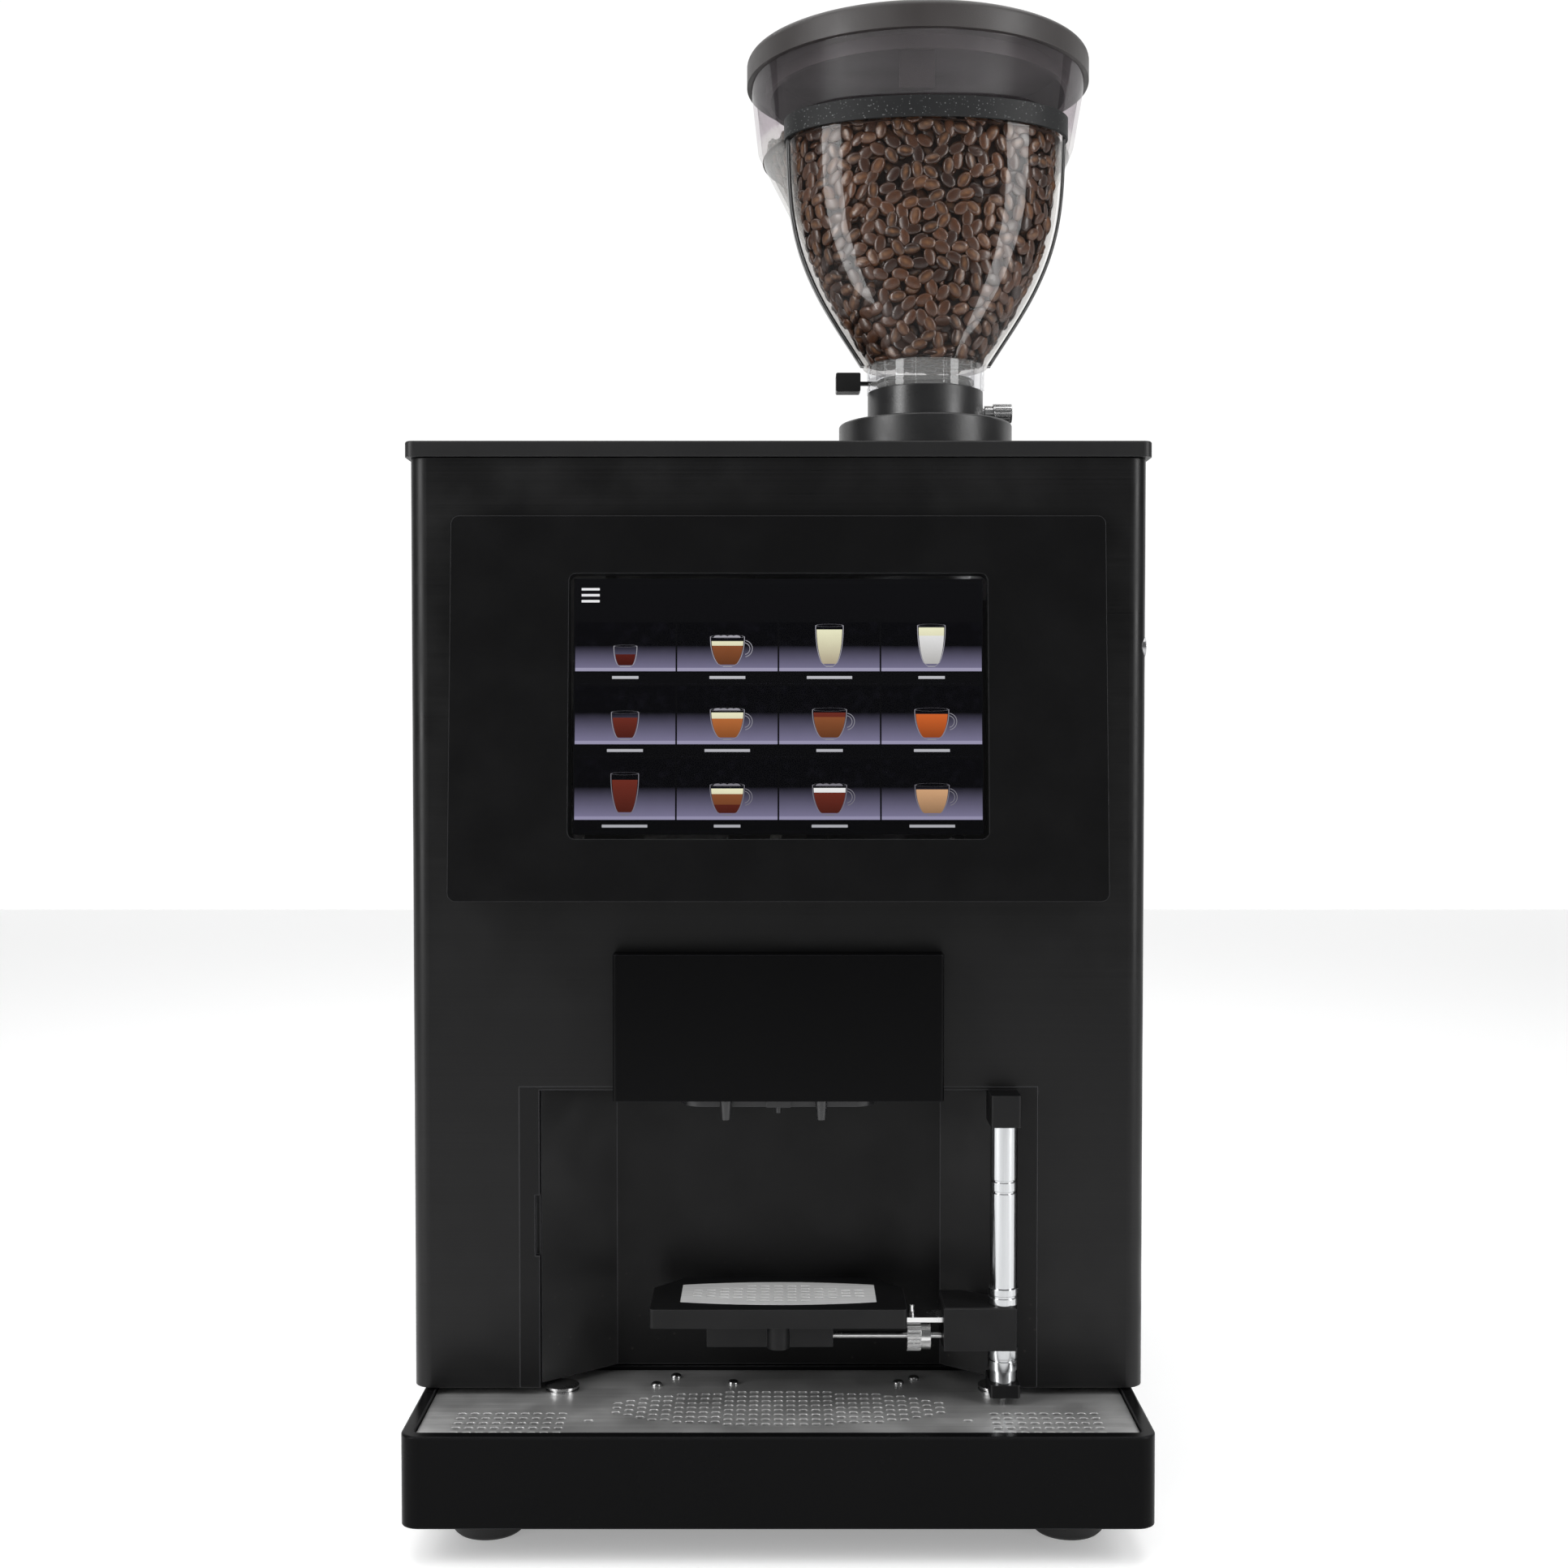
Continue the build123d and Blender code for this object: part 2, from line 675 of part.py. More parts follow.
def make_drive_motors():
    """The grinder motor, and the auger and whipper motors behind the mounting wall."""
    top = grinder_bottom - 2
    big = post(motor_radius, neck_x, NECK_Y, (top - 94, top))
    big += block((neck_x - 2, neck_x + 28), (NECK_Y, WALL_Y), (top - 60, top - 52))
    solids = [big]
    behind = WALL_Y + plate
    for x in canister_x:
        for level in (auger_level, whipper_level):
            motor = bar_y(18.0, x, (behind, behind + 42), level)
            motor += block((x - 21, x + 21), (behind, behind + 12), (level - 21, level + 21))
            solids.append(motor)
    return group(solids)


def make_waste_bin():
    """Open bin for the spent grounds, under the brew chamber."""
    x = (5.0, 165.0)
    y = (FRONT + deck_setback + 12, WALL_Y - 12)
    z = (Z_DECK, 225.0)
    bin_body = fillet(block(x, y, z).edges().filter_by(Axis.Z), 8.0)
    inner = block((x[0] + plate, x[1] - plate), (y[0] + plate, y[1] - plate), (z[0] + plate, z[1] + 1))
    return bin_body - fillet(inner.edges().filter_by(Axis.Z), 6.0)


# ------------------------------------------------------------------ powders


def canister_outline(x, inset):
    """Section of a canister: a box that narrows to a trough around its auger."""
    half = canister_half - inset
    trough = 14.0 - inset
    bottom = canister_levels[0] + inset
    return [
        (x - half, canister_levels[1] - 4),
        (x - half, auger_level + 30),
        (x - trough, bottom),
        (x + trough, bottom),
        (x + half, auger_level + 30),
        (x + half, canister_levels[1] - 4),
    ]


def make_powder_canisters():
    """Two powder canisters with their front spouts."""
    wall = 2.5
    y = (FRONT + canister_setback[0], FRONT + canister_setback[1])
    solids = []
    for x in canister_x:
        body = prism_y(canister_outline(x, 0), y)
        spout_y = (y[0] - 26, y[0] + 1)
        body += block((x - 13, x + 13), spout_y, (canister_levels[0] - 14, auger_level + 14))
        inner = prism_y(canister_outline(x, wall), (y[0] + wall, y[1] - wall))
        top = block(
            (x - canister_half + wall, x + canister_half - wall),
            (y[0] + wall, y[1] - wall),
            (canister_levels[1] - 5, canister_levels[1]),
        )
        body = body - inner - top
        body -= bar_y(auger_radius + 0.5, x, (spout_y[0] + 3, y[0] + 4), auger_level)
        body -= block(
            (x - 9, x + 9), (spout_y[0] + 3, spout_y[0] + 20), (canister_levels[0] - 15, auger_level)
        )
        body -= bar_y(4.0 + fit_gap, x, (y[1] - wall - 1, y[1] + 1), auger_level)
        solids.append(body)
    return group(solids)


def make_canister_lids():
    """Flat lids of the canisters, each with a finger bar."""
    y = (FRONT + canister_setback[0], FRONT + canister_setback[1])
    top = canister_levels[1] - 1
    solids = []
    for x in canister_x:
        lid = block((x - canister_half, x + canister_half), y, (top - 3, top))
        solids.append(lid + block((x - 12, x + 12), (y[0] + 20, y[0] + 30), (top, top + 2)))
    return group(solids)


def make_auger(x):
    """Stepped screw on its shaft, which reaches back through the mounting wall."""
    start = FRONT + canister_setback[0] - 22
    end = FRONT + canister_setback[1] - 4
    auger = bar_y(4.0, x, (start, WALL_Y + plate - 0.3), auger_level)
    turns = 18
    pitch = (end - start) / turns
    for step in range(turns):
        y = start + (step + 0.5) * pitch
        flight = Pos(x, y, auger_level) * Rot(90, 0, 0) * Rot(0, 16, 0)
        auger += flight * Cylinder(auger_radius - 1.5, 1.6)
    return auger


def make_mixing_bowls():
    """Two funnel bowls on their whipper chambers."""
    y = FRONT + bowl_setback
    wall = 2.0
    solids = []
    for x in canister_x:
        bowl = cone(20.0, 34.0, x, y + 18, bowl_levels)
        bowl += bar_y(whipper_chamber + wall, x, (y, y + 36), whipper_level)
        bowl -= cone(20.0 - wall, 34.0 - wall, x, y + 18, (bowl_levels[0] - 0.1, bowl_levels[1] + 0.1))
        bowl -= bar_y(whipper_chamber, x, (y + wall, y + 36 - wall), whipper_level)
        bowl -= bar_y(3.0 + fit_gap, x, (y + 30, y + 40), whipper_level)
        solids.append(bowl)
    return group(solids)


def make_whipper(x):
    """Slotted whipping disc on its shaft, which reaches back to its motor."""
    y = FRONT + bowl_setback + 12
    disc = bar_y(whipper_chamber - 3, x, (y, y + 8), whipper_level)
    for step in range(6):
        cut = Pos(x, y + 4, whipper_level) * Rot(0, 60 * step, 0)
        disc -= cut * Pos(10, 0, 0) * Box(9, 10, 3)
    return disc + bar_y(3.0, x, (y + 8, WALL_Y + plate - 0.3), whipper_level)


# ------------------------------------------------------------------ door


def make_door_panel():
    """Folded door skin with openings for the screen, the nozzles and the cup recess."""
    y = (FRONT, FRONT + door_thickness)
    outer = block((-HALF, HALF), y, (Z_DOOR, Z_DOOR_TOP))
    outer = fillet(upright_edges(outer, HALF - 1, FRONT + 1), door_edge_radius)
    inner = block(
        (-INNER_HALF, INNER_HALF), (FRONT + sheet, y[1] + 1), (Z_DOOR + sheet, Z_DOOR_TOP - sheet)
    )
    inner = fillet(upright_edges(inner, HALF - 4, FRONT + 3), door_edge_radius - sheet)
    door = outer - inner
    half = screen_width / 2 + 5
    rise = screen_height / 2 + 5
    through = (FRONT - 1, FRONT + sheet + 1)
    door -= block((-half, half), through, (screen_level - rise, screen_level + rise))
    door -= block((-recess_half, recess_half), (FRONT - 1, y[1] + 1), (Z_DOOR - 1, recess_top + plate))
    door -= block(
        (-funnel_half - 1, funnel_half + 1), through, (recess_top + plate - 1, funnel_top + 1)
    )
    for level in hinge_levels:
        door -= block(
            (-HALF - 1, -INNER_HALF + 0.01),
            (HINGE_Y - hinge_barrel - 0.8, y[1] + 1),
            (level - 1, level + hinge_length + 1),
        )
    return door - bar_x(latch_radius, (HALF - door_edge_radius - 1, HALF + 1), LATCH_Y, latch_level)


def make_door_hinges():
    """The moving halves of both hinges."""
    solids = []
    clear = hinge_barrel + 0.6
    near = FRONT + door_edge_radius + 0.5
    for level in hinge_levels:
        third = hinge_length / 3
        knuckle = (level + third, level + 2 * third)
        half = hinge_half(level, (near, HINGE_Y), (knuckle,), (near, HINGE_Y - clear))
        solids.append(half - post(hinge_pin + fit_gap, HINGE_X, HINGE_Y, knuckle))
    return group(solids)


def make_door_latch():
    """Lock barrel in the door's right edge with its arm and hooked tip."""
    barrel = bar_x(latch_radius - fit_gap, (HALF - 17, HALF - 0.2), LATCH_Y, latch_level)
    barrel -= block((HALF - 3, HALF), (LATCH_Y - 0.6, LATCH_Y + 0.6), (latch_level - 3, latch_level + 3))
    tip = latch_level + latch_arm
    arm = block((HALF - 17, HALF - 14), (LATCH_Y - 5, LATCH_Y + 5), (latch_level, tip))
    return barrel + arm + block((HALF - 26, HALF - 14), (LATCH_Y - 5, LATCH_Y + 5), (tip - 5, tip))


def bezel_face():
    """The plane of the tilted front of the bezel, with its origin at the screen's middle."""
    tilt = math.radians(bezel_tilt)
    drop = bezel_bottom + bezel_height - screen_level
    y = FRONT - bezel_top_reach - drop * math.tan(tilt)
    return Plane(
        origin=(0, y, screen_level), x_dir=(1, 0, 0), z_dir=(0, -math.cos(tilt), math.sin(tilt))
    )


def rounded_plate(width, height, depth, radius):
    """A plate with rounded corners whose front face lies on its plane and which goes back."""
    return extrude(RectangleRounded(width, height, radius), amount=-depth)


def make_touch_bezel():
    """Wedge that leans its screen up towards the user."""
    face = bezel_face()
    middle = bezel_bottom + bezel_height / 2
    upright = Plane(origin=(0, FRONT - 60, middle), x_dir=(1, 0, 0), z_dir=(0, -1, 0))
    wedge = upright * rounded_plate(bezel_width, bezel_height, 60, bezel_corner)
    wedge -= face * Pos(0, 0, 50) * Box(bezel_width * 2, bezel_height * 3, 100)
    width = screen_width + 2 * screen_border
    height = screen_height + 2 * screen_border
    window = face * Pos(0, 0, 1) * rounded_plate(width, height, 60, 4.0)
    return wedge - window


def make_touch_glass():
    """Touch glass, seated just below the face of the bezel."""
    width = screen_width + 2 * screen_border
    height = screen_height + 2 * screen_border
    return bezel_face() * Pos(0, 0, -glass_recess) * rounded_plate(width, height, glass_thickness, 4.0)


def make_display_panel():
    """Display panel behind the touch glass."""
    depth = glass_recess + glass_thickness
    return bezel_face() * Pos(0, 0, -depth) * rounded_plate(screen_width, screen_height, 5.0, 1.0)


def make_nose_cover():
    """Moulded cover in front of the nozzles, open at its back and underside."""
    wall = 2.0
    y = (FRONT - nose_reach, FRONT)
    z = (nose_bottom, nose_bottom + nose_height)
    cover = block((-nose_half, nose_half), y, z)
    cover = fillet(upright_edges(cover, nose_half - 1, FRONT - nose_reach + 1), 2.2)
    inner = block(
        (-nose_half + wall, nose_half - wall), (y[0] + wall, y[1] + 1), (z[0] - 1, z[1] - wall)
    )
    return cover - inner


def make_nozzle_block():
    """Distributor: a funnel behind the door, two channels and the plate under the nose."""
    floor_top = nose_bottom + 3
    nose_inner = nose_half - 2.0
    unit = block((-nose_inner, nose_inner), (FRONT - nose_reach + 2, FRONT), (nose_bottom, floor_top))
    stadium = extrude(SlotOverall(stadium_length, stadium_width), amount=stadium_height)
    unit += Pos(0, FRONT + 8, nose_bottom - stadium_height) * stadium
    half = funnel_half
    unit += block((-half, half), (FRONT - nose_reach + 3, FRONT + 20), (nose_bottom, nose_bottom + 22))
    unit += block((-half, half), (FRONT, FRONT + 20), (nose_bottom, nose_bottom + 36))
    unit += block(
        (-half, half), (FRONT + 4, FRONT + funnel_depth), (nose_bottom + 34, funnel_top)
    )
    unit -= block(
        (-half + 3, half - 3), (FRONT + 7, FRONT + funnel_depth - 3), (nose_bottom + 40, funnel_top + 1)
    )
    for x in nozzle_x:
        unit -= post(2.4, x, FRONT + 10, (nose_bottom + 8, nose_bottom + 41))
        unit -= bar_y(2.4, x, (FRONT - nozzle_setout, FRONT + 10), nose_bottom + 8)
        unit -= post(1.8, x, FRONT - nozzle_setout, (nose_bottom - 1, nose_bottom + 8))
    boss = (nose_bottom - stadium_height, nose_bottom)
    unit += block((-6.5, 6.5), (FRONT - 6, FRONT), boss)
    return unit + post(1.5, 0, FRONT - 2, (boss[0] - 3.5, boss[0]))


def make_nozzle_tips():
    """Two conical drink spouts."""
    solids = []
    z = (nose_bottom - nozzle_length, nose_bottom)
    for x in nozzle_x:
        tip = cone(2.4, 3.4, x, FRONT - nozzle_setout, z)
        solids.append(tip - post(1.5, x, FRONT - nozzle_setout, (z[0] - 1, z[1] + 1)))
    return group(solids)


def recess_outline(inset):
    """Plan of the recess: flat strips at the front, splayed walls and a flat back."""
    if inset == 0:
        half = [(strip_inner, FRONT - 1), (strip_inner, FRONT + strip_depth)]
        half.append((recess_back_half, FRONT + recess_depth))
    else:
        half = [(recess_half, FRONT), (recess_half, FRONT + strip_depth + inset)]
        half.append((strip_inner + inset, FRONT + strip_depth + inset))
        half.append((recess_back_half + inset, FRONT + recess_depth + inset))
    return half + [(-x, y) for x, y in reversed(half)]


def make_recess_liner():
    """Lining of the cup recess, with the slot for the cup sensor in its left strip."""
    liner = prism_z(recess_outline(plate), (Z_DOOR, recess_top + plate))
    liner -= prism_z(recess_outline(0), (Z_DOOR - 1, recess_top))
    liner -= block(
        (-funnel_half, funnel_half), (FRONT - 1, FRONT + 20), (recess_top - 1, recess_top + plate + 1)
    )
    return liner - block((-strip_inner - 2.4, -strip_inner + 1), (FRONT - 1, FRONT + 4), (141, 174))


def make_guide_rod():
    """Upright rod that carries the cup carriage, with two index grooves."""
    z = (Z_DOOR + foot_block_height, rod_top)
    rod = post(rod_radius, rod_x, ROD_Y, z)
    for level in (z[1] - 30, z[1] - 36):
        rod -= tube(rod_radius + 1, rod_radius - 0.6, rod_x, ROD_Y, (level, level + 1.2))
    return rod


def make_rod_brackets():
    """Top and foot blocks that hold the guide rod."""
    x = (rod_x - rod_radius - 0.5, strip_inner)
    front = ROD_Y - rod_radius - 1
    y = (front, FRONT + strip_depth)
    solids = []
    for z in ((rod_top, recess_top), (Z_DOOR, Z_DOOR + foot_block_height)):
        bracket = block(x, y, z)
        solids.append(fillet(upright_edges(bracket, 0, front + 1), 1.5))
    return group(solids)


# ------------------------------------------------------------------ cup carriage


def make_rod_collars():
    """Two grooved collars on the rod, one above and one below the carriage."""
    solids = []
    top = carriage_bottom + carriage_height
    for z in ((carriage_bottom - 12, carriage_bottom - 0.3), (top + 0.3, top + 9)):
        collar = tube(COLLAR_RADIUS, rod_radius + fit_gap, rod_x, ROD_Y, z)
        middle = (z[0] + z[1]) / 2
        collar -= tube(COLLAR_RADIUS + 1, COLLAR_RADIUS - 0.5, rod_x, ROD_Y, (middle - 0.7, middle + 0.7))
        solids.append(collar)
    return group(solids)


def make_carriage_block():
    """Block that turns on the rod; its back right corner is cut to clear the recess wall."""
    front = ROD_Y - 9.5
    outline = [
        (carriage_left, front),
        (rod_x + carriage_right, front),
        (rod_x + carriage_right, ROD_Y + 8),
        (rod_x - 8, ROD_Y + 16),
        (carriage_left + 12, ROD_Y + 24),
        (carriage_left, ROD_Y + 24),
    ]
    top = carriage_bottom + carriage_height
    carriage = chamfer(prism_z(outline, (carriage_bottom, top)).edges().group_by(Axis.Z)[-1], 0.6)
    return carriage - post(rod_radius + fit_gap, rod_x, ROD_Y, (carriage_bottom - 1, top + 1))


def make_platform_link():
    """Steel shaft, bar and stop pin that join the platform to the carriage block."""
    y = FRONT - link_setout
    shaft = bar_x(link_radius, (bracket_x[1], carriage_left), y, link_level)
    z = (platform_top - platform_height - 1.2, platform_top - platform_height + 1.5)
    strip = block((platform_half, carriage_left), (y - 7, y + 7), z)
    return group([shaft, strip + post(link_radius, platform_half + 3.5, y, (z[1], z[1] + 5))])


def insert_outline(gap):
    """Barrel-shaped plan of the steel insert."""
    half = insert_half - gap
    end = 15.5 - gap
    middle = 20.5 - gap
    right = Line((half, INSERT_Y - end), (half, INSERT_Y + end))
    left = Line((-half, INSERT_Y + end), (-half, INSERT_Y - end))
    rear = ThreePointArc(right @ 1, (0, INSERT_Y + middle), left @ 0)
    fore = ThreePointArc(left @ 1, (0, INSERT_Y - middle), right @ 0)
    return make_face([right, rear, left, fore])


def make_cup_platform():
    """Cup platform with a pocket for its insert and the bracket below it."""
    z = (platform_top - platform_height, platform_top)
    outline = [
        (-platform_half, FRONT - platform_front),
        (platform_half, FRONT - platform_front),
        (platform_half, FRONT + platform_back - 19),
        (platform_half - 16, FRONT + platform_back),
        (-platform_half + 16, FRONT + platform_back),
        (-platform_half, FRONT + platform_back - 19),
    ]
    platform = prism_z(outline, z)
    platform = fillet(upright_edges(platform, platform_half - 1, FRONT - platform_front + 1), 2.5)
    bracket = block(bracket_x, (FRONT - 20, FRONT + 20), (z[0] - 12, z[0]))
    boss = post(6.0, 0, FRONT - 20, (z[0] - 12, z[0]))
    platform = platform + bracket + boss
    pocket = Pos(0, 0, platform_top - insert_thickness) * extrude(insert_outline(0), amount=5)
    sump = block(
        (-insert_half + 4, insert_half - 4), (INSERT_Y - 13, INSERT_Y + 13), (z[0] + 3, z[1])
    )
    return platform - pocket - sump


def slot_wire(x, y, length, width):
    """Outline of one rounded slot."""
    return (Pos(x, y, 0) * SlotOverall(length, width)).wire()


def make_platform_insert():
    """Stainless insert with columns of short slots, more of them towards the middle."""
    rows = (3, 3, 4, 4, 6, 6, 6, 6, 6, 4, 4, 3, 3)
    wires = []
    for column, count in enumerate(rows):
        x = (column - (len(rows) - 1) / 2) * 7.3
        for row in range(count):
            y = INSERT_Y + (row - (count - 1) / 2) * 5.2
            wires.append(slot_wire(x, y, 5.0, 2.0))
    face = Face(insert_outline(0.1).face().outer_wire(), wires)
    return Pos(0, 0, platform_top - insert_thickness) * extrude(face, amount=insert_thickness, dir=(0, 0, 1))


def make_lock_knob():
    """Fluted thumb nut on the platform's shaft."""
    y = FRONT - link_setout
    step = (knob_x[0] + knob_x[1]) / 2 + 1
    knob = bar_x(knob_radius, (knob_x[0], step), y, link_level)
    knob += bar_x(knob_radius - 0.7, (step, knob_x[1]), y, link_level)
    flutes = 24
    for index in range(flutes):
        angle = 2 * math.pi * index / flutes
        place = (y + knob_radius * math.cos(angle), link_level + knob_radius * math.sin(angle))
        knob -= bar_x(0.5, (knob_x[0] - 1, step), place[0], place[1])
    return knob - bar_x(link_radius + fit_gap, (knob_x[0] - 1, knob_x[1] + 1), y, link_level)


# ------------------------------------------------------------------ drip tray


def make_drip_tray():
    """Deep tray with a broad rim and a ledge for the grid."""
    y = (FRONT - tray_reach, FRONT + tray_setback)
    z = (Z_TRAY, Z_TRAY_TOP)
    tray = block((-TRAY_HALF, TRAY_HALF), y, z)
    tray = fillet(upright_edges(tray, TRAY_HALF - 1, y[0] + 1), tray_corner)
    tray = fillet(tray.edges().group_by(Axis.Z)[-1], 1.2)
    rim = tray_rim
    ledge = Z_TRAY_TOP - grid_drop - grid_thickness
    seat = block((-TRAY_HALF + rim, TRAY_HALF - rim), (y[0] + rim, y[1] - rim), (ledge, z[1] + 1))
    seat = fillet(seat.edges().filter_by(Axis.Z), 3.0)
    deep = rim + 5
    well = block((-TRAY_HALF + deep, TRAY_HALF - deep), (y[0] + deep, y[1] - deep), (z[0] + tray_wall, z[1]))
    return tray - seat - fillet(well.edges().filter_by(Axis.Z), 3.0)


def grid_slot_places():
    """Middles of the grid's slots: a lens in the middle and a field at each side."""
    places = []
    for column in range(-13, 14):
        count = round(8 * math.sqrt(1 - (column / 14) ** 2))
        for row in range(count):
            y = FRONT - 19.5 + (row - (count - 1) / 2) * slot_pitch_y
            places.append((column * slot_pitch_x, y))
    for side in (-1, 1):
        for column in range(9):
            for row in range(5):
                x = side * (140 + (column - 4) * slot_pitch_x)
                places.append((x, FRONT - 41.5 + (row - 2) * slot_pitch_y))
        places.append((side * 99.0, FRONT - 38.0))
    return places


def make_drip_grid():
    """Brushed steel plate with slotted drains."""
    gap = 0.4
    x = TRAY_HALF - tray_rim - gap
    y = (FRONT - tray_reach + tray_rim + gap, FRONT + tray_setback - tray_rim - gap)
    outline = Pos(0, (y[0] + y[1]) / 2, 0) * RectangleRounded(2 * x, y[1] - y[0], 3.0)
    wires = [slot_wire(px, py, slot_length, slot_width) for px, py in grid_slot_places()]
    face = Face(outline.face().outer_wire(), wires)
    bottom = Z_TRAY_TOP - grid_drop - grid_thickness
    return Pos(0, 0, bottom) * extrude(face, amount=grid_thickness, dir=(0, 0, 1))


def make_grid_fittings():
    """Domed screws and two grooved turned studs on the grid."""
    top = Z_TRAY_TOP - grid_drop
    solids = []
    for x, setback in ((-67, 15), (-25, 18), (66, 18), (75, 25), (-57, 28)):
        head = post(3.0, x, FRONT + setback, (top, top + 1.8))
        solids.append(fillet(head.edges().group_by(Axis.Z)[-1], 1.3))
    for x in (-118, 118):
        stud = post(9.0, x, FRONT + 9, (top, top + grid_drop + 0.4))
        stud -= tube(10.0, 8.0, x, FRONT + 9, (top + 0.8, top + 1.6))
        solids.append(stud)
    return group(solids)


# ------------------------------------------------------------------ bean hopper


def make_hopper_mount():
    """Turned base disc with the neck ring that holds the hopper."""
    disc = post(mount_radius, neck_x, NECK_Y, (Z_COVER_TOP, Z_MOUNT_TOP))
    disc = fillet(disc.edges().group_by(Axis.Z)[-1], 1.5)
    mount = disc + post(neck_radius, neck_x, NECK_Y, (Z_MOUNT_TOP, Z_NECK_TOP))
    mount -= post(throat, neck_x, NECK_Y, (Z_COVER_TOP - 1, Z_NECK_TOP + 1))
    mount -= post(spigot_radius + 0.4, neck_x, NECK_Y, (Z_NECK_TOP - spigot_depth - 1, Z_NECK_TOP + 1))
    return mount - bar_x(3.0 + fit_gap, (neck_x + throat, neck_x + neck_radius + 1), NECK_Y, CLAMP_LEVEL)


def make_clamp_screw():
    """Fluted thumbscrew that clamps the hopper's spigot."""
    edge = neck_x + neck_radius
    screw = bar_x(3.0, (neck_x + spigot_radius + 1, edge + 5), NECK_Y, CLAMP_LEVEL)
    screw += bar_x(4.5, (edge + 1, edge + 6), NECK_Y, CLAMP_LEVEL)
    head = bar_x(5.6, (edge + 6, edge + 17), NECK_Y, CLAMP_LEVEL)
    for index in range(18):
        angle = 2 * math.pi * index / 18
        place = (NECK_Y + 5.6 * math.cos(angle), CLAMP_LEVEL + 5.6 * math.sin(angle))
        head -= bar_x(0.4, (edge + 6.8, edge + 16.2), place[0], place[1])
    return screw + head


def make_hopper_collar():
    """Clear collar with its spigot, side slot for the gate and moulded ribs."""
    z = (Z_NECK_TOP + 0.3, Z_COLLAR_TOP)
    collar = tube(neck_radius, neck_radius - 5, neck_x, NECK_Y, z)
    collar += tube(spigot_radius, throat, neck_x, NECK_Y, (Z_NECK_TOP - spigot_depth, z[0] + 3))
    collar += tube(neck_radius, throat, neck_x, NECK_Y, (z[0], z[0] + 3))
    for index in range(12):
        turn = Pos(neck_x, NECK_Y, 0) * Rot(0, 0, 30 * index + 15)
        collar += turn * block((neck_radius - 1, neck_radius + 1), (-1, 1), z)
    return collar - block(
        (neck_x - neck_radius - 2, neck_x - 18),
        (NECK_Y - gate_half - 0.3, NECK_Y + gate_half + 0.3),
        (GATE_LEVEL - 0.3, GATE_LEVEL + plate + 0.3),
    )


def make_slide_gate():
    """Gate plate across the collar, with its rod and knob."""
    z = (GATE_LEVEL, GATE_LEVEL + plate)
    blade = post(neck_radius - 5.4, neck_x, NECK_Y, z)
    reach = (neck_x - neck_radius - 1, neck_x + neck_radius)
    blade = blade & block(reach, (NECK_Y - gate_half, NECK_Y + gate_half), z)
    left = neck_x - neck_radius
    rod = block((left - 5, left + 8), (NECK_Y - 2, NECK_Y + 2), z)
    middle = GATE_LEVEL + plate / 2
    knob = block((left - 19, left - 4.5), (NECK_Y - 6, NECK_Y + 6), (middle - 5.5, middle + 5.5))
    return blade + rod + fillet(knob.edges().filter_by(Axis.Y), 1.0)


def vessel(inset, top):
    """The hopper's rear vessel: an oblique cone from the collar to the shoulder and the mouth."""
    sections = [
        (Z_COLLAR_TOP, neck_x, NECK_Y, neck_radius - inset),
        (Z_SHOULDER, shoulder_x, FRONT + shoulder_setback, shoulder_radius - inset),
        (Z_MOUTH, shoulder_x, FRONT + mouth_setback, mouth_radius - inset),
    ]
    solids = []
    for low, high in zip(sections, sections[1:]):
        circles = [Pos(x, y, z) * Circle(radius) for z, x, y, radius in (low, high)]
        solids.append(loft(circles, ruled=True))
    body = solids[0] + solids[1]
    return body & block((-400, 400), (-400, 400), (0, top))


def front_bowl(inset):
    """The hopper's tulip-shaped front bowl, a stack of ellipses."""
    shares = ((0.0, 0.45, 0.78), (0.23, 0.71, 0.9), (0.45, 0.89, 0.97), (0.7, 0.975, 1.0), (1.0, 1.0, 1.0))
    sections = []
    for height, wide, deep in shares:
        z = Z_COLLAR_TOP + height * (shoulder_rise + 2 - inset)
        outline = Ellipse(bowl_half_width * wide - inset, bowl_reach * deep - inset)
        sections.append(Pos(neck_x, NECK_Y, z) * outline)
    return loft(sections)


def make_hopper_shell():
    """Clear shell: the rear vessel and the front bowl, hollowed as one."""
    outer = vessel(0, Z_MOUTH) + front_bowl(0)
    inner = vessel(shell_wall, Z_MOUTH) + front_bowl(shell_wall)
    return outer - inner


def make_hopper_ring():
    """Speckled band around the top of the front bowl."""
    top = Z_SHOULDER + 2
    z = (top - ring_height, top)
    outer = extrude(Ellipse(bowl_half_width + ring_proud, bowl_reach + ring_proud), amount=ring_height)
    outer = Pos(neck_x, NECK_Y, z[0]) * outer
    outer = outer & block((-400, 400), (-400, NECK_Y + 4), z)
    return outer - vessel(-0.1, Z_MOUTH) - front_bowl(-0.1)


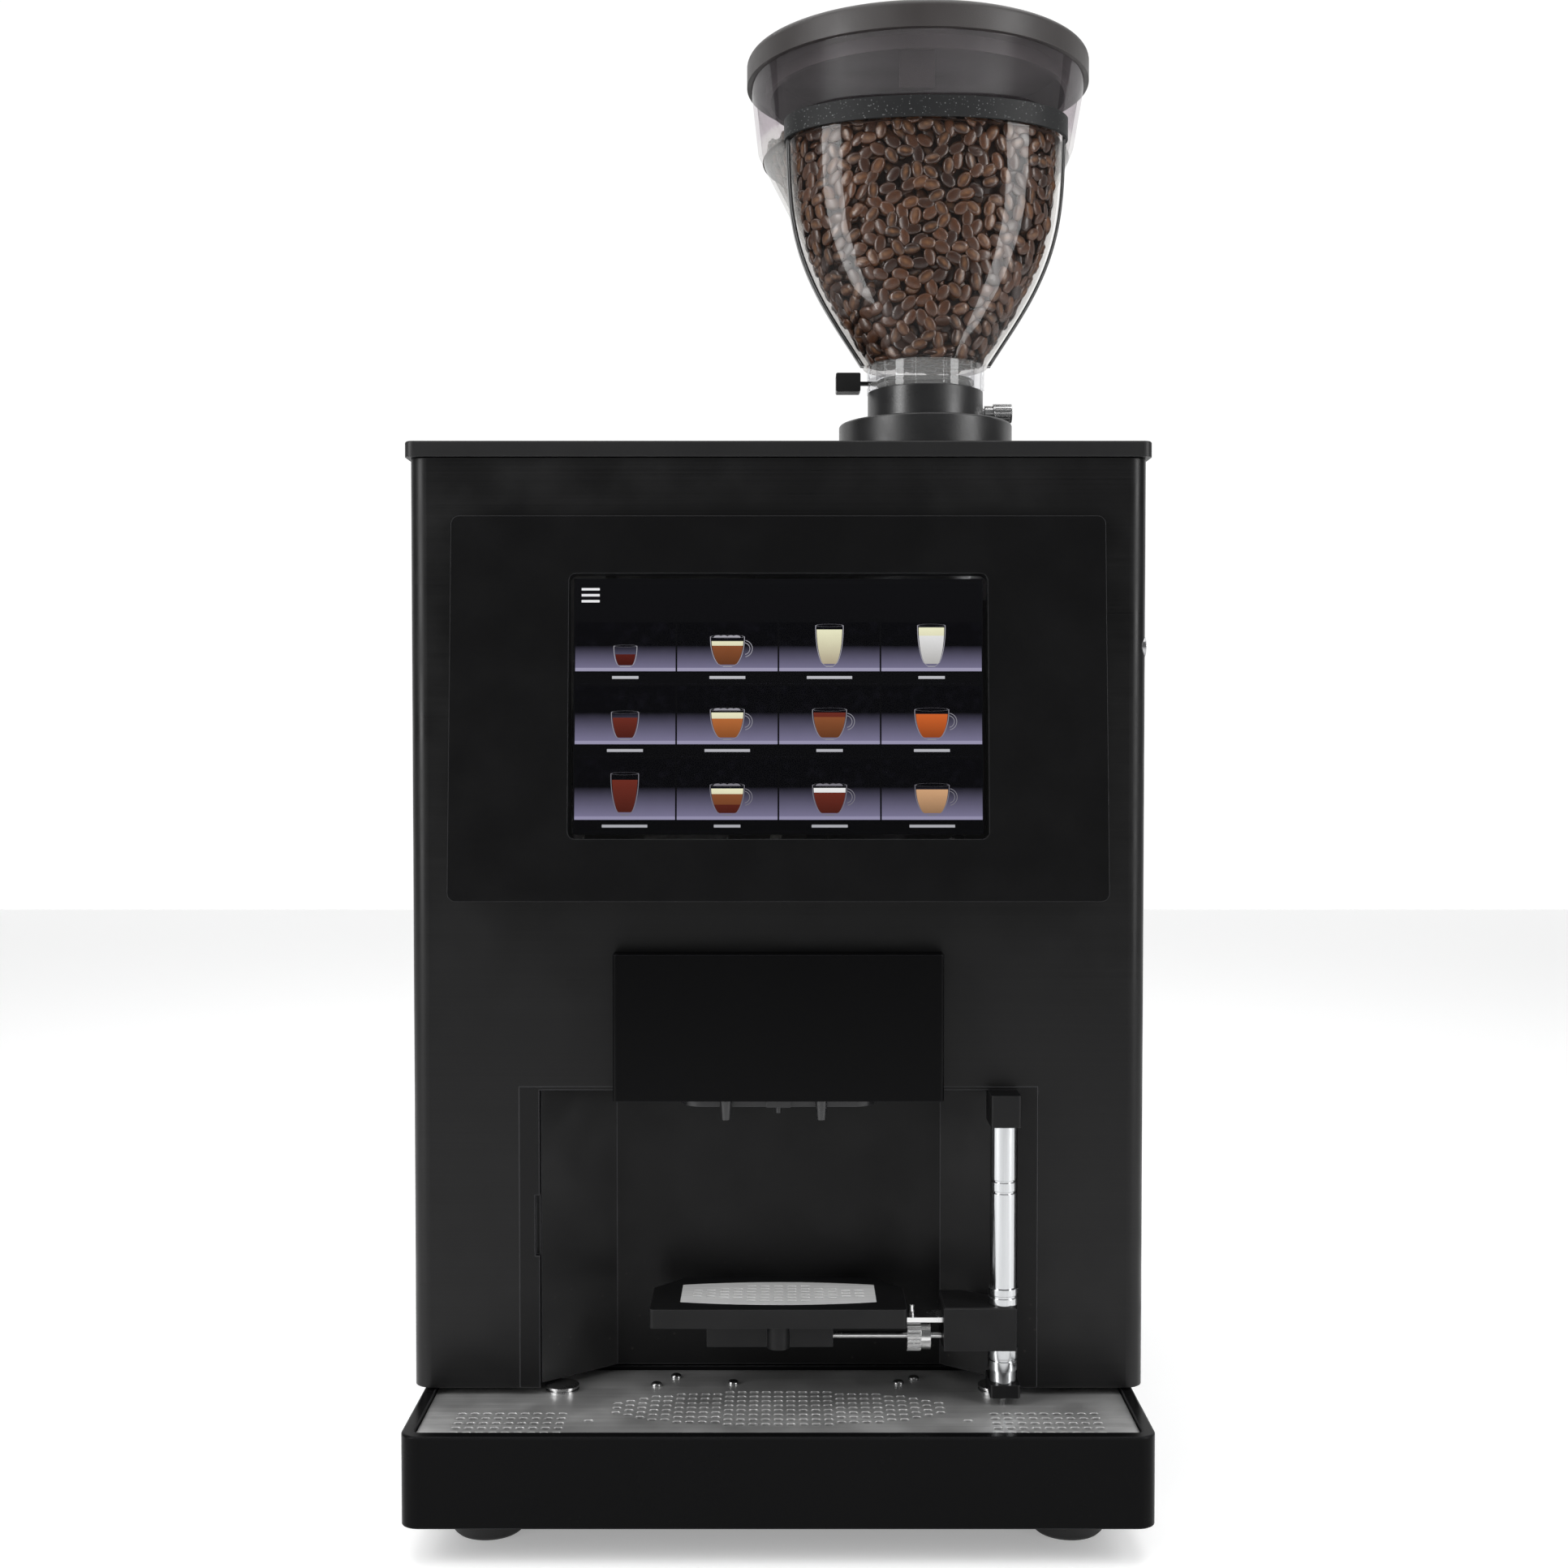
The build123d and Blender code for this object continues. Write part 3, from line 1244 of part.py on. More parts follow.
def make_hopper_lid():
    """Domed lid with a plug rim and the tongue of its safety catch."""
    x = shoulder_x
    y = FRONT + mouth_setback
    z = (Z_MOUTH + 0.3, Z_MOUTH + lid_height)
    lid = post(lid_radius, x, y, z)
    lid = fillet(lid.edges().group_by(Axis.Z)[-1], 4.0)
    dome_radius = (lid_radius**2 + lid_dome**2) / (2 * lid_dome)
    dome = Pos(x, y, z[1] + lid_dome - dome_radius) * Sphere(dome_radius)
    lid += dome & post(lid_radius - 5, x, y, (z[1] - 1, z[1] + lid_dome + 1))
    lid -= post(mouth_radius - 12, x, y, (z[0] - 1, z[1] - 3))
    lid += tube(mouth_radius - 9, mouth_radius - 12, x, y, (z[0] - 8, z[0] + 1))
    tongue = FRONT + mouth_setback - mouth_radius + 24
    return lid + block((neck_x - 18, neck_x + 2), (tongue, tongue + 3), (z[0] - 25, z[1] - 2))


def make_coffee_beans():
    """The heap of beans as one solid, just inside the shell."""
    inset = shell_wall + 0.6
    heap = vessel(inset, Z_SHOULDER + 2) + front_bowl(inset)
    top = Z_SHOULDER + 1
    peak = cone(62.0, 22.0, shoulder_x, FRONT + mouth_setback + 12, (top, top + 14))
    return heap + peak


# ------------------------------------------------------------------ nodes

NODES = {
    "base_frame": make_base_frame,
    "feet": make_feet,
    "cabinet_wrap": make_cabinet_wrap,
    "top_cover": make_top_cover,
    "chassis_frame": make_chassis_frame,
    "cabinet_hinges": make_cabinet_hinges,
    "power_inlet": make_power_inlet,
    "power_switch": make_power_switch,
    "water_inlet": make_water_inlet,
    "fan_housing": make_fan_housing,
    "fan_rotor": make_fan_rotor,
    "boiler": make_boiler,
    "pump": make_pump,
    "pipework": make_pipework,
    "power_supply": make_power_supply,
    "control_board": make_control_board,
    "grinder_housing": make_grinder_housing,
    "lower_burr": make_lower_burr,
    "grind_adjuster": make_grind_adjuster,
    "coffee_chute": make_coffee_chute,
    "brew_unit": make_brew_unit,
    "brew_piston": make_brew_piston,
    "drive_motors": make_drive_motors,
    "waste_bin": make_waste_bin,
    "powder_canisters": make_powder_canisters,
    "canister_lids": make_canister_lids,
    "auger_left": lambda: make_auger(canister_x[0]),
    "auger_right": lambda: make_auger(canister_x[1]),
    "mixing_bowls": make_mixing_bowls,
    "whipper_left": lambda: make_whipper(canister_x[0]),
    "whipper_right": lambda: make_whipper(canister_x[1]),
    "door_panel": make_door_panel,
    "door_hinges": make_door_hinges,
    "door_latch": make_door_latch,
    "touch_bezel": make_touch_bezel,
    "touch_glass": make_touch_glass,
    "display_panel": make_display_panel,
    "nose_cover": make_nose_cover,
    "nozzle_block": make_nozzle_block,
    "nozzle_tips": make_nozzle_tips,
    "recess_liner": make_recess_liner,
    "guide_rod": make_guide_rod,
    "rod_brackets": make_rod_brackets,
    "rod_collars": make_rod_collars,
    "carriage_block": make_carriage_block,
    "platform_link": make_platform_link,
    "cup_platform": make_cup_platform,
    "platform_insert": make_platform_insert,
    "lock_knob": make_lock_knob,
    "drip_tray": make_drip_tray,
    "drip_grid": make_drip_grid,
    "grid_fittings": make_grid_fittings,
    "hopper_mount": make_hopper_mount,
    "clamp_screw": make_clamp_screw,
    "hopper_collar": make_hopper_collar,
    "slide_gate": make_slide_gate,
    "hopper_shell": make_hopper_shell,
    "hopper_ring": make_hopper_ring,
    "hopper_lid": make_hopper_lid,
    "coffee_beans": make_coffee_beans,
}

os.makedirs("parts", exist_ok=True)
for name, make in NODES.items():
    export_step(make(), f"parts/{name}.step")
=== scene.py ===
import itertools
import json
import math
import random

import bpy
import mathutils
from mathutils.bvhtree import BVHTree
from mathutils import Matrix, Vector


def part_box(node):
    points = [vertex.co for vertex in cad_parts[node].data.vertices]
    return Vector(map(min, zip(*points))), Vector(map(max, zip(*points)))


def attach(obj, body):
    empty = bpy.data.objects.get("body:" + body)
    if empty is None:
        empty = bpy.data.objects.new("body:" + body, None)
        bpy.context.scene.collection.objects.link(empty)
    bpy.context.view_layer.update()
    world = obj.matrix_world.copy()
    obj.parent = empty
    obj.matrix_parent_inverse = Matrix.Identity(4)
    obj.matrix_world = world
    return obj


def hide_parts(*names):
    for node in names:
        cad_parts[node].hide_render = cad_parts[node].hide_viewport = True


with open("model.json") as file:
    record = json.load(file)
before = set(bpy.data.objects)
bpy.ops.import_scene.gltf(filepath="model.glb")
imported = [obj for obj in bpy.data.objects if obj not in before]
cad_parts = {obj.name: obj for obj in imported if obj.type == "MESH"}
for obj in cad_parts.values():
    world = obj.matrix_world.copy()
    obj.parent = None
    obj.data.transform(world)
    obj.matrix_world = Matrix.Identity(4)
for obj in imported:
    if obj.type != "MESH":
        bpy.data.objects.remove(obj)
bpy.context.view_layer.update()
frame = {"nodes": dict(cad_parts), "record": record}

# Looks of the bean-to-cup coffee machine. Lengths are in metres, in the frame's axes.

MM = 0.001
NODES = frame["nodes"]
RECORD = frame["record"]
random.seed(20)

# screen layout, in millimetres from the lower left corner of the display
SCREEN_TILT = 5.0
PANEL_DEPTH = 5.0
TILE_WIDTH = 53.2
TILE_PITCH = 54.1
TILE_LEFT = 0.8
TILE_ROWS = ((80.0, 32.6), (41.2, 37.6), (1.2, 38.4))
LABEL_HEIGHT = 6.6
SHELF_LEVEL = 8.4

# beans
BEAN_LENGTH = 10.4
BEAN_WIDTH = 7.4
BEAN_THICKNESS = 4.6
BEAN_POKE = 0.6  # furthest a bean may stand out of the heap

# rim of the screen's window, and the step between the flat layers of its contents
RIM_DEPTH = 0.75
RIM_WIDTH = 0.7
WINDOW_HEIGHT = 141.0
WINDOW_RADIUS = 4.0
LAYER_GAP = 0.08

# seams of the bowl: (offset to the rear, stand-off) of each corner in millimetres
SEAM_PROFILE = ((-4.4, -0.7), (-3.8, 1.1), (1.6, 1.3), (2.3, -0.7))
SEAM_START = 0.3  # distance outside the bowl from which its wall is looked for

# turned pieces: (radius, height) in millimetres
CATCH_PROFILE = ((0, 0), (2.6, 0), (2.6, 3), (1.9, 3.6), (1.9, 6), (1.3, 6.6), (0, 6.6))
SCREW_PROFILE = ((3.6, 0), (3.5, 0.5), (2.2, 1.1), (0.9, 1.1), (0.5, 0.4), (0, 0.4))

# rear screws: side, and share of the sheet's height
REAR_SCREWS = ((-1, 0.07), (0, 0.07), (1, 0.07), (-1, 0.93), (0, 0.93), (1, 0.93), (-1, 0.5), (1, 0.5))
REAR_SCREW_INSET = 12.0

GRAIN_DEPTH = 0.2 * MM  # depth of the fine grain in the finishes
FLOOR_REACH = 9.0

# camera
CAMERA_PLACE = (0.003, -1.214, 0.425)
CAMERA_PITCH = -1.65
CAMERA_LENS = 42.8


# ------------------------------------------------------------------ node helpers


def put(tree, kind, inputs=None, **settings):
    """Adds a shader node; each input takes a value or another node's output."""
    made = tree.nodes.new(kind)
    for key, value in settings.items():
        setattr(made, key, value)
    for key, value in (inputs or {}).items():
        if isinstance(value, bpy.types.NodeSocket):
            tree.links.new(value, made.inputs[key])
        else:
            made.inputs[key].default_value = value
    return made


def new_material(name):
    """An empty node material."""
    made = bpy.data.materials.new(name)
    made.use_nodes = True
    made.node_tree.nodes.clear()
    return made


def coordinates(tree, scale=(1, 1, 1)):
    """Coordinates that travel with the piece, stretched by scale."""
    source = put(tree, "ShaderNodeTexCoord").outputs["Object"]
    return put(tree, "ShaderNodeMapping", {"Vector": source, "Scale": scale}).outputs["Vector"]


def noise(tree, scale, stretch=(1, 1, 1), detail=4.0):
    """Noise from 0 to 1 around 0.5."""
    vector = coordinates(tree, stretch)
    made = put(tree, "ShaderNodeTexNoise", {"Vector": vector, "Scale": scale, "Detail": detail})
    return made.outputs["Fac"]


def remap(tree, value, low, high, to_low, to_high):
    """Maps one range of a value to another and clamps it."""
    inputs = {0: value, 1: low, 2: high, 3: to_low, 4: to_high}
    return put(tree, "ShaderNodeMapRange", inputs).outputs[0]


def mix_color(tree, factor, first, second):
    """Blends two colours."""
    inputs = {0: factor, 6: first, 7: second}
    return put(tree, "ShaderNodeMix", inputs, data_type="RGBA").outputs[2]


def math_node(tree, operation, first, second):
    """One arithmetic step."""
    return put(tree, "ShaderNodeMath", {0: first, 1: second}, operation=operation).outputs[0]


def shade(color, factor):
    """A colour made lighter or darker, with full alpha."""
    return tuple(min(1.0, part * factor) for part in color[:3]) + (1.0,)


def edge_highlight_mask(tree, radius):
    """Near 1 on rounded edges and 0 on flat faces, with the rounded normal; it places the painted edge
    highlights.
    """
    rounded = put(tree, "ShaderNodeBevel", {"Radius": radius}, samples=4).outputs["Normal"]
    flat = put(tree, "ShaderNodeNewGeometry").outputs["Normal"]
    dot = put(tree, "ShaderNodeVectorMath", {0: rounded, 1: flat}, operation="DOT_PRODUCT").outputs["Value"]
    return remap(tree, dot, 0.995, 0.85, 0.0, 1.0), rounded


def solid_material(name, color, roughness, metallic=0.0, coat=0.0, grain=0.15, grain_scale=900.0,
                   brushed=None, edge_highlight=0.25, spread=0.12, edge=0.5, smudge=0.08, specular=0.5):
    """Opaque surface with colour drift, smudges, fine grain or brushing, and a painted highlight that
    lightens the colour along the edges.
    """
    made = new_material(name)
    tree = made.node_tree
    edge_glint, rounded = edge_highlight_mask(tree, edge * MM)
    drift = noise(tree, 14.0)
    base = mix_color(tree, drift, shade(color, 1 - spread), shade(color, 1 + spread))
    if brushed:
        lines = noise(tree, 1.0, brushed, 3.0)
        base = mix_color(tree, remap(tree, lines, 0.3, 0.7, 0.0, 1.0), shade(color, 1 - 2 * spread), base)
    else:
        lines = noise(tree, grain_scale, detail=2.0)
    # painted highlight: the colour is lightened along the rounded edges, standing in for the light caught
    # there
    base = mix_color(tree, math_node(tree, "MULTIPLY", edge_glint, edge_highlight), base, shade(color, 1.0 + 2.5 * edge_highlight))
    smudges = noise(tree, 30.0, detail=6.0)
    rough = remap(tree, smudges, 0.35, 0.7, max(0.02, roughness - smudge), roughness + smudge)
    rough = math_node(tree, "ADD", rough, remap(tree, lines, 0.2, 0.8, -0.5 * smudge, 0.5 * smudge))
    bumped = put(tree, "ShaderNodeBump", {
        "Strength": grain, "Distance": GRAIN_DEPTH, "Height": lines, "Normal": rounded})
    shader = put(tree, "ShaderNodeBsdfPrincipled", {
        "Base Color": base, "Roughness": rough, "Metallic": metallic, "Coat Weight": coat,
        "Coat Roughness": 0.06, "Specular IOR Level": specular, "Normal": bumped.outputs["Normal"]})
    put(tree, "ShaderNodeOutputMaterial", {"Surface": shader.outputs[0]})
    return made


def clear_shader(tree, tint, gloss=0.9, haze=0.04, milk=(0.8, 0.8, 0.78, 1)):
    """Thin clear plastic: a tint, more reflection at grazing angles and a little milkiness."""
    edge_glint, rounded = edge_highlight_mask(tree, 0.5 * MM)
    ripple = noise(tree, 60.0, detail=2.0)
    bumped = put(tree, "ShaderNodeBump", {
        "Strength": 0.08, "Distance": 0.3 * MM, "Height": ripple, "Normal": rounded})
    through = put(tree, "ShaderNodeBsdfTransparent", {"Color": tint})
    rough = remap(tree, noise(tree, 25.0, detail=6.0), 0.4, 0.75, 0.02, 0.09)
    mirror = put(tree, "ShaderNodeBsdfGlossy", {"Roughness": rough, "Normal": bumped.outputs["Normal"]})
    cloudy = put(tree, "ShaderNodeBsdfDiffuse", {"Color": milk})
    body = put(tree, "ShaderNodeMixShader", {0: haze, 1: through.outputs[0], 2: cloudy.outputs[0]})
    facing = put(tree, "ShaderNodeFresnel", {"IOR": 1.49, "Normal": bumped.outputs["Normal"]}).outputs[0]
    outside = math_node(tree, "SUBTRACT", 1.0, put(tree, "ShaderNodeNewGeometry").outputs["Backfacing"])
    amount = math_node(tree, "MULTIPLY", facing, gloss)
    amount = math_node(tree, "ADD", amount, math_node(tree, "MULTIPLY", edge_glint, 0.12))
    amount = math_node(tree, "MULTIPLY", amount, outside)
    return put(tree, "ShaderNodeMixShader", {0: amount, 1: body.outputs[0], 2: mirror.outputs[0]}).outputs[0]


def clear_material(name, tint, gloss=0.9, haze=0.04):
    """Clear plastic or glass of one tint."""
    made = new_material(name)
    tree = made.node_tree
    put(tree, "ShaderNodeOutputMaterial", {"Surface": clear_shader(tree, tint, gloss, haze)})
    return made


def hopper_material():
    """Clear front bowl, milky rear vessel and smoked band above the shoulder."""
    made = new_material("hopper_clear")
    tree = made.node_tree
    place = put(tree, "ShaderNodeSeparateXYZ", {"Vector": coordinates(tree)})
    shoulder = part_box("hopper_ring")[1].z
    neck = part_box("hopper_collar")
    middle = (neck[0].y + neck[1].y) / 2
    smoked = remap(tree, place.outputs["Z"], shoulder - 1 * MM, shoulder + 1 * MM, 0.0, 1.0)
    behind = remap(tree, place.outputs["Y"], middle + 2 * MM, middle + 14 * MM, 0.0, 1.0)
    front = clear_shader(tree, (0.99, 0.985, 0.98, 1), 0.6, 0.002)
    milky_haze = remap(tree, noise(tree, 18.0), 0.3, 0.7, 0.1, 0.17)
    rear = clear_shader(tree, (0.9, 0.89, 0.88, 1), 0.9, milky_haze)
    smoke_haze = remap(tree, noise(tree, 18.0), 0.3, 0.7, 0.02, 0.05)
    smoke = clear_shader(tree, (0.85, 0.825, 0.84, 1), 0.8, smoke_haze, (0.34, 0.31, 0.33, 1))
    lower = put(tree, "ShaderNodeMixShader", {0: behind, 1: front, 2: rear})
    whole = put(tree, "ShaderNodeMixShader", {0: smoked, 1: lower.outputs[0], 2: smoke})
    put(tree, "ShaderNodeOutputMaterial", {"Surface": whole.outputs[0]})
    return made


def speckled_material():
    """Charcoal moulding with pale and dark flecks."""
    made = solid_material("ring_speckle", (0.013, 0.0135, 0.014), 0.55, grain=0.3, specular=0.2)
    tree = made.node_tree
    shader = next(n for n in tree.nodes if n.type == "BSDF_PRINCIPLED")
    cells = put(tree, "ShaderNodeTexVoronoi", {"Vector": coordinates(tree), "Scale": 620.0})
    fleck = remap(tree, cells.outputs["Distance"], 0.16, 0.26, 1.0, 0.0)
    chosen = remap(tree, noise(tree, 400.0), 0.46, 0.56, 0.0, 1.0)
    amount = math_node(tree, "MULTIPLY", fleck, chosen)
    base = shader.inputs["Base Color"].links[0].from_socket
    tree.links.new(mix_color(tree, amount, base, (0.13, 0.135, 0.135, 1)), shader.inputs["Base Color"])
    return made


def bean_material():
    """Roasted coffee: a different brown for each bean, darker creases and an oily sheen."""
    made = new_material("roasted_beans")
    tree = made.node_tree
    tone = put(tree, "ShaderNodeAttribute", attribute_name="tone").outputs["Fac"]
    crease = put(tree, "ShaderNodeAttribute", attribute_name="crease").outputs["Fac"]
    mottle = noise(tree, 500.0, detail=5.0)
    base = mix_color(tree, tone, (0.018, 0.006, 0.003, 1), (0.085, 0.032, 0.013, 1))
    base = mix_color(tree, remap(tree, mottle, 0.35, 0.65, 0.0, 0.45), base, (0.012, 0.004, 0.002, 1))
    base = mix_color(tree, crease, base, (0.17, 0.085, 0.04, 1))
    rough = remap(tree, mottle, 0.3, 0.7, 0.26, 0.46)
    bumped = put(tree, "ShaderNodeBump", {"Strength": 0.35, "Distance": GRAIN_DEPTH, "Height": mottle})
    shader = put(tree, "ShaderNodeBsdfPrincipled", {
        "Base Color": base, "Roughness": rough, "Normal": bumped.outputs["Normal"],
        "Coat Weight": 0.3, "Coat Roughness": 0.18, "Specular IOR Level": 0.35})
    put(tree, "ShaderNodeOutputMaterial", {"Surface": shader.outputs[0]})
    return made


def lit_material(name, low, high, z_range, strength=1.0, grain=0.05):
    """Part of the lit screen: a colour that runs from low to high up the piece, with a fine grain."""
    made = new_material(name)
    tree = made.node_tree
    place = put(tree, "ShaderNodeSeparateXYZ", {"Vector": coordinates(tree)})
    share = remap(tree, place.outputs["Z"], z_range[0], z_range[1], 0.0, 1.0)
    share = math_node(tree, "ADD", share, remap(tree, noise(tree, 200.0), 0.0, 1.0, -grain, grain))
    color = mix_color(tree, share, low, high)
    shader = put(tree, "ShaderNodeEmission", {"Color": color, "Strength": strength})
    put(tree, "ShaderNodeOutputMaterial", {"Surface": shader.outputs[0]})
    return made


# ------------------------------------------------------------------ finishes of the CAD nodes

BRUSH_ALONG_X = (6.0, 1400.0, 1400.0)
BRUSH_GRID = (8.0, 1800.0, 8.0)
BRUSH_FRONT = (3.0, 3.0, 2200.0)


def finishes():
    """One material for each slot of the record."""
    steel = (0.62, 0.63, 0.64)
    # edge_highlight sets how strongly each finish is lightened along its edges as a painted highlight
    return {
        "cabinet_black": solid_material(
            "cabinet_coat", (0.009, 0.009, 0.0093), 0.44, grain=0.12, grain_scale=2600.0, edge_highlight=1.0,
            spread=0.04, smudge=0.025, specular=0.28),
        "door_black": solid_material(
            "door_coat", (0.0055, 0.0055, 0.0057), 0.38, brushed=BRUSH_FRONT, grain=0.1, edge_highlight=1.5,
            spread=0.16, edge=0.8, specular=0.22),
        "frame_steel": solid_material(
            "galvanised", (0.5, 0.51, 0.52), 0.42, metallic=1.0, grain=0.1, grain_scale=90.0, spread=0.25),
        "hinge_steel": solid_material(
            "hinge_steel", (0.42, 0.42, 0.43), 0.34, metallic=1.0, brushed=BRUSH_ALONG_X),
        "foot_rubber": solid_material("foot_rubber", (0.02, 0.02, 0.02), 0.72, grain=0.4, grain_scale=1500.0),
        "service_black": solid_material(
            "service_plastic", (0.025, 0.025, 0.027), 0.5, grain=0.3, grain_scale=2200.0),
        "valve_brass": solid_material("valve_brass", (0.6, 0.42, 0.18), 0.3, metallic=1.0, grain=0.12),
        "boiler_steel": solid_material(
            "boiler_skin", (0.55, 0.56, 0.57), 0.38, metallic=1.0, brushed=(900.0, 900.0, 4.0)),
        "pump_grey": solid_material("pump_case", (0.16, 0.17, 0.18), 0.45, grain=0.25),
        "hose": solid_material("silicone_hose", (0.68, 0.68, 0.64), 0.42, grain=0.1, specular=0.4),
        "supply_case": solid_material(
            "supply_case", (0.55, 0.56, 0.57), 0.4, metallic=1.0, grain=0.12, grain_scale=300.0),
        "board_green": board_material(),
        "grinder_alloy": solid_material(
            "grinder_casting", (0.42, 0.42, 0.43), 0.45, metallic=1.0, grain=0.5, grain_scale=700.0),
        "burr_steel": solid_material("burr_steel", steel, 0.25, metallic=1.0, grain=0.1),
        "adjuster_black": solid_material("adjuster_plastic", (0.035, 0.035, 0.036), 0.42, grain=0.2),
        "brewer_plastic": solid_material("brewer_plastic", (0.08, 0.08, 0.088), 0.45, grain=0.25),
        "piston_plastic": solid_material("piston_plastic", (0.72, 0.72, 0.69), 0.4, grain=0.1),
        "motor_black": solid_material(
            "motor_can", (0.04, 0.04, 0.042), 0.38, metallic=0.4, brushed=BRUSH_ALONG_X),
        "bin_grey": solid_material("bin_plastic", (0.13, 0.13, 0.14), 0.5, grain=0.3),
        "canister_clear": clear_material("canister_plastic", (0.9, 0.9, 0.9, 1), 0.9, 0.35),
        "auger_plastic": solid_material("auger_plastic", (0.8, 0.8, 0.77), 0.42, grain=0.1),
        "bowl_plastic": solid_material("bowl_plastic", (0.78, 0.78, 0.76), 0.25, grain=0.06, coat=0.3),
        "bezel_black": solid_material(
            "bezel_plastic", (0.0035, 0.0035, 0.0037), 0.36, specular=0.13, grain=0.1, grain_scale=2400.0,
            edge_highlight=4.5, edge=0.5, smudge=0.05),
        "screen_glass": clear_material("touch_glass", (0.97, 0.97, 0.975, 1), 0.8, 0.0),
        "display": solid_material("display_panel", (0.004, 0.004, 0.006), 0.3, grain=0.05),
        "gloss_black": solid_material(
            "piano_black", (0.0014, 0.0014, 0.0016), 0.2, grain=0.02, grain_scale=200.0, edge_highlight=4.0,
            smudge=0.04, specular=0.07),
        "nozzle_black": solid_material(
            "distributor_plastic", (0.012, 0.012, 0.013), 0.34, grain=0.12, edge_highlight=1.2),
        "nozzle_grey": solid_material("spout_plastic", (0.014, 0.014, 0.015), 0.3, grain=0.08),
        "liner_black": liner_material(),
        "chrome_rod": solid_material(
            "polished_rod", (0.52, 0.53, 0.54), 0.16, metallic=1.0, brushed=(1500.0, 1500.0, 14.0),
            grain=0.03, smudge=0.05, spread=0.06),
        "carriage_black": solid_material(
            "carriage_plastic", (0.005, 0.005, 0.0053), 0.4, grain=0.18, grain_scale=2200.0, edge_highlight=2.0,
            specular=0.2),
        "link_steel": solid_material("turned_steel", (0.66, 0.66, 0.66), 0.22, metallic=1.0, grain=0.1),
        "insert_steel": solid_material(
            "insert_steel", (0.9, 0.9, 0.895), 0.42, metallic=0.4, brushed=BRUSH_GRID, grain=0.12),
        "tray_black": solid_material(
            "tray_gloss", (0.0035, 0.0035, 0.0037), 0.24, grain=0.04, grain_scale=300.0, edge_highlight=5.0,
            edge=0.8, smudge=0.05, specular=0.04),
        "grid_steel": solid_material(
            "grid_steel", (0.84, 0.84, 0.835), 0.42, metallic=0.88, brushed=BRUSH_GRID, grain=0.14,
            spread=0.08),
        "fitting_steel": solid_material("fitting_steel", (0.36, 0.36, 0.36), 0.3, metallic=1.0, grain=0.04),
        "mount_black": solid_material("mount_plastic", (0.012, 0.012, 0.0125), 0.36, grain=0.12, edge_highlight=1.0),
        "clear_plastic": clear_material("clear_collar", (0.93, 0.93, 0.94, 1), 1.0, 0.1),
        "hopper_clear": hopper_material(),
        "ring_speckle": speckled_material(),
        "lid_brown": solid_material(
            "lid_plastic", (0.026, 0.0225, 0.022), 0.52, grain=0.3, grain_scale=1800.0, edge_highlight=0.8),
        "beans": bean_material(),
        "gate_black": solid_material("gate_plastic", (0.008, 0.008, 0.008), 0.3, grain=0.1, edge_highlight=1.5),
        "screw_steel": solid_material("knurled_steel", (0.6, 0.6, 0.6), 0.28, metallic=1.0, grain=0.15),
    }


def board_material():
    """Circuit board: green mask with copper tracks and pale print, under the chips."""
    made = solid_material("circuit_board", (0.01, 0.09, 0.035), 0.35, grain=0.1)
    tree = made.node_tree
    shader = next(n for n in tree.nodes if n.type == "BSDF_PRINCIPLED")
    source = put(tree, "ShaderNodeTexCoord").outputs["Object"]
    upright = put(tree, "ShaderNodeMapping", {"Vector": source, "Rotation": (math.pi / 2, 0, 0)})
    tracks = put(tree, "ShaderNodeTexBrick", {
        "Vector": upright.outputs["Vector"], "Color1": (0, 0, 0, 1), "Color2": (0, 0, 0, 1),
        "Mortar": (1, 1, 1, 1), "Scale": 60.0, "Mortar Size": 0.03})
    place = put(tree, "ShaderNodeSeparateXYZ", {"Vector": coordinates(tree)})
    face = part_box("control_board")[0].y + 12 * MM
    chips = remap(tree, place.outputs["Y"], face, face + 1 * MM, 0.0, 1.0)
    base = shader.inputs["Base Color"].links[0].from_socket
    board = mix_color(tree, tracks.outputs["Fac"], base, (0.04, 0.2, 0.07, 1))
    tree.links.new(mix_color(tree, chips, board, (0.03, 0.03, 0.032, 1)), shader.inputs["Base Color"])
    return made


def liner_material():
    """Recess lining: satin moulding with faint dried splashes low on the back."""
    made = solid_material(
        "liner_plastic", (0.0028, 0.0028, 0.003), 0.45, grain=0.2, grain_scale=2000.0, edge_highlight=7.0,
        edge=0.8, specular=0.2)
    tree = made.node_tree
    shader = next(n for n in tree.nodes if n.type == "BSDF_PRINCIPLED")
    place = put(tree, "ShaderNodeSeparateXYZ", {"Vector": coordinates(tree)})
    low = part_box("recess_liner")[0].z
    height = remap(tree, place.outputs["Z"], low, low + 70 * MM, 1.0, 0.0)
    cells = put(tree, "ShaderNodeTexVoronoi", {"Vector": coordinates(tree), "Scale": 130.0})
    marks = math_node(tree, "MULTIPLY", remap(tree, cells.outputs["Distance"], 0.05, 0.12, 0.35, 0.0), height)
    base = shader.inputs["Base Color"].links[0].from_socket
    tree.links.new(mix_color(tree, marks, base, (0.05, 0.045, 0.04, 1)), shader.inputs["Base Color"])
    return made


def dress_nodes(materials):
    """Gives each CAD node the material of its slot."""
    for part in RECORD["subparts"]:
        mesh = NODES[part["node"]].data
        mesh.materials.clear()
        mesh.materials.append(materials[part["material_slot"]])


# ------------------------------------------------------------------ mesh helpers


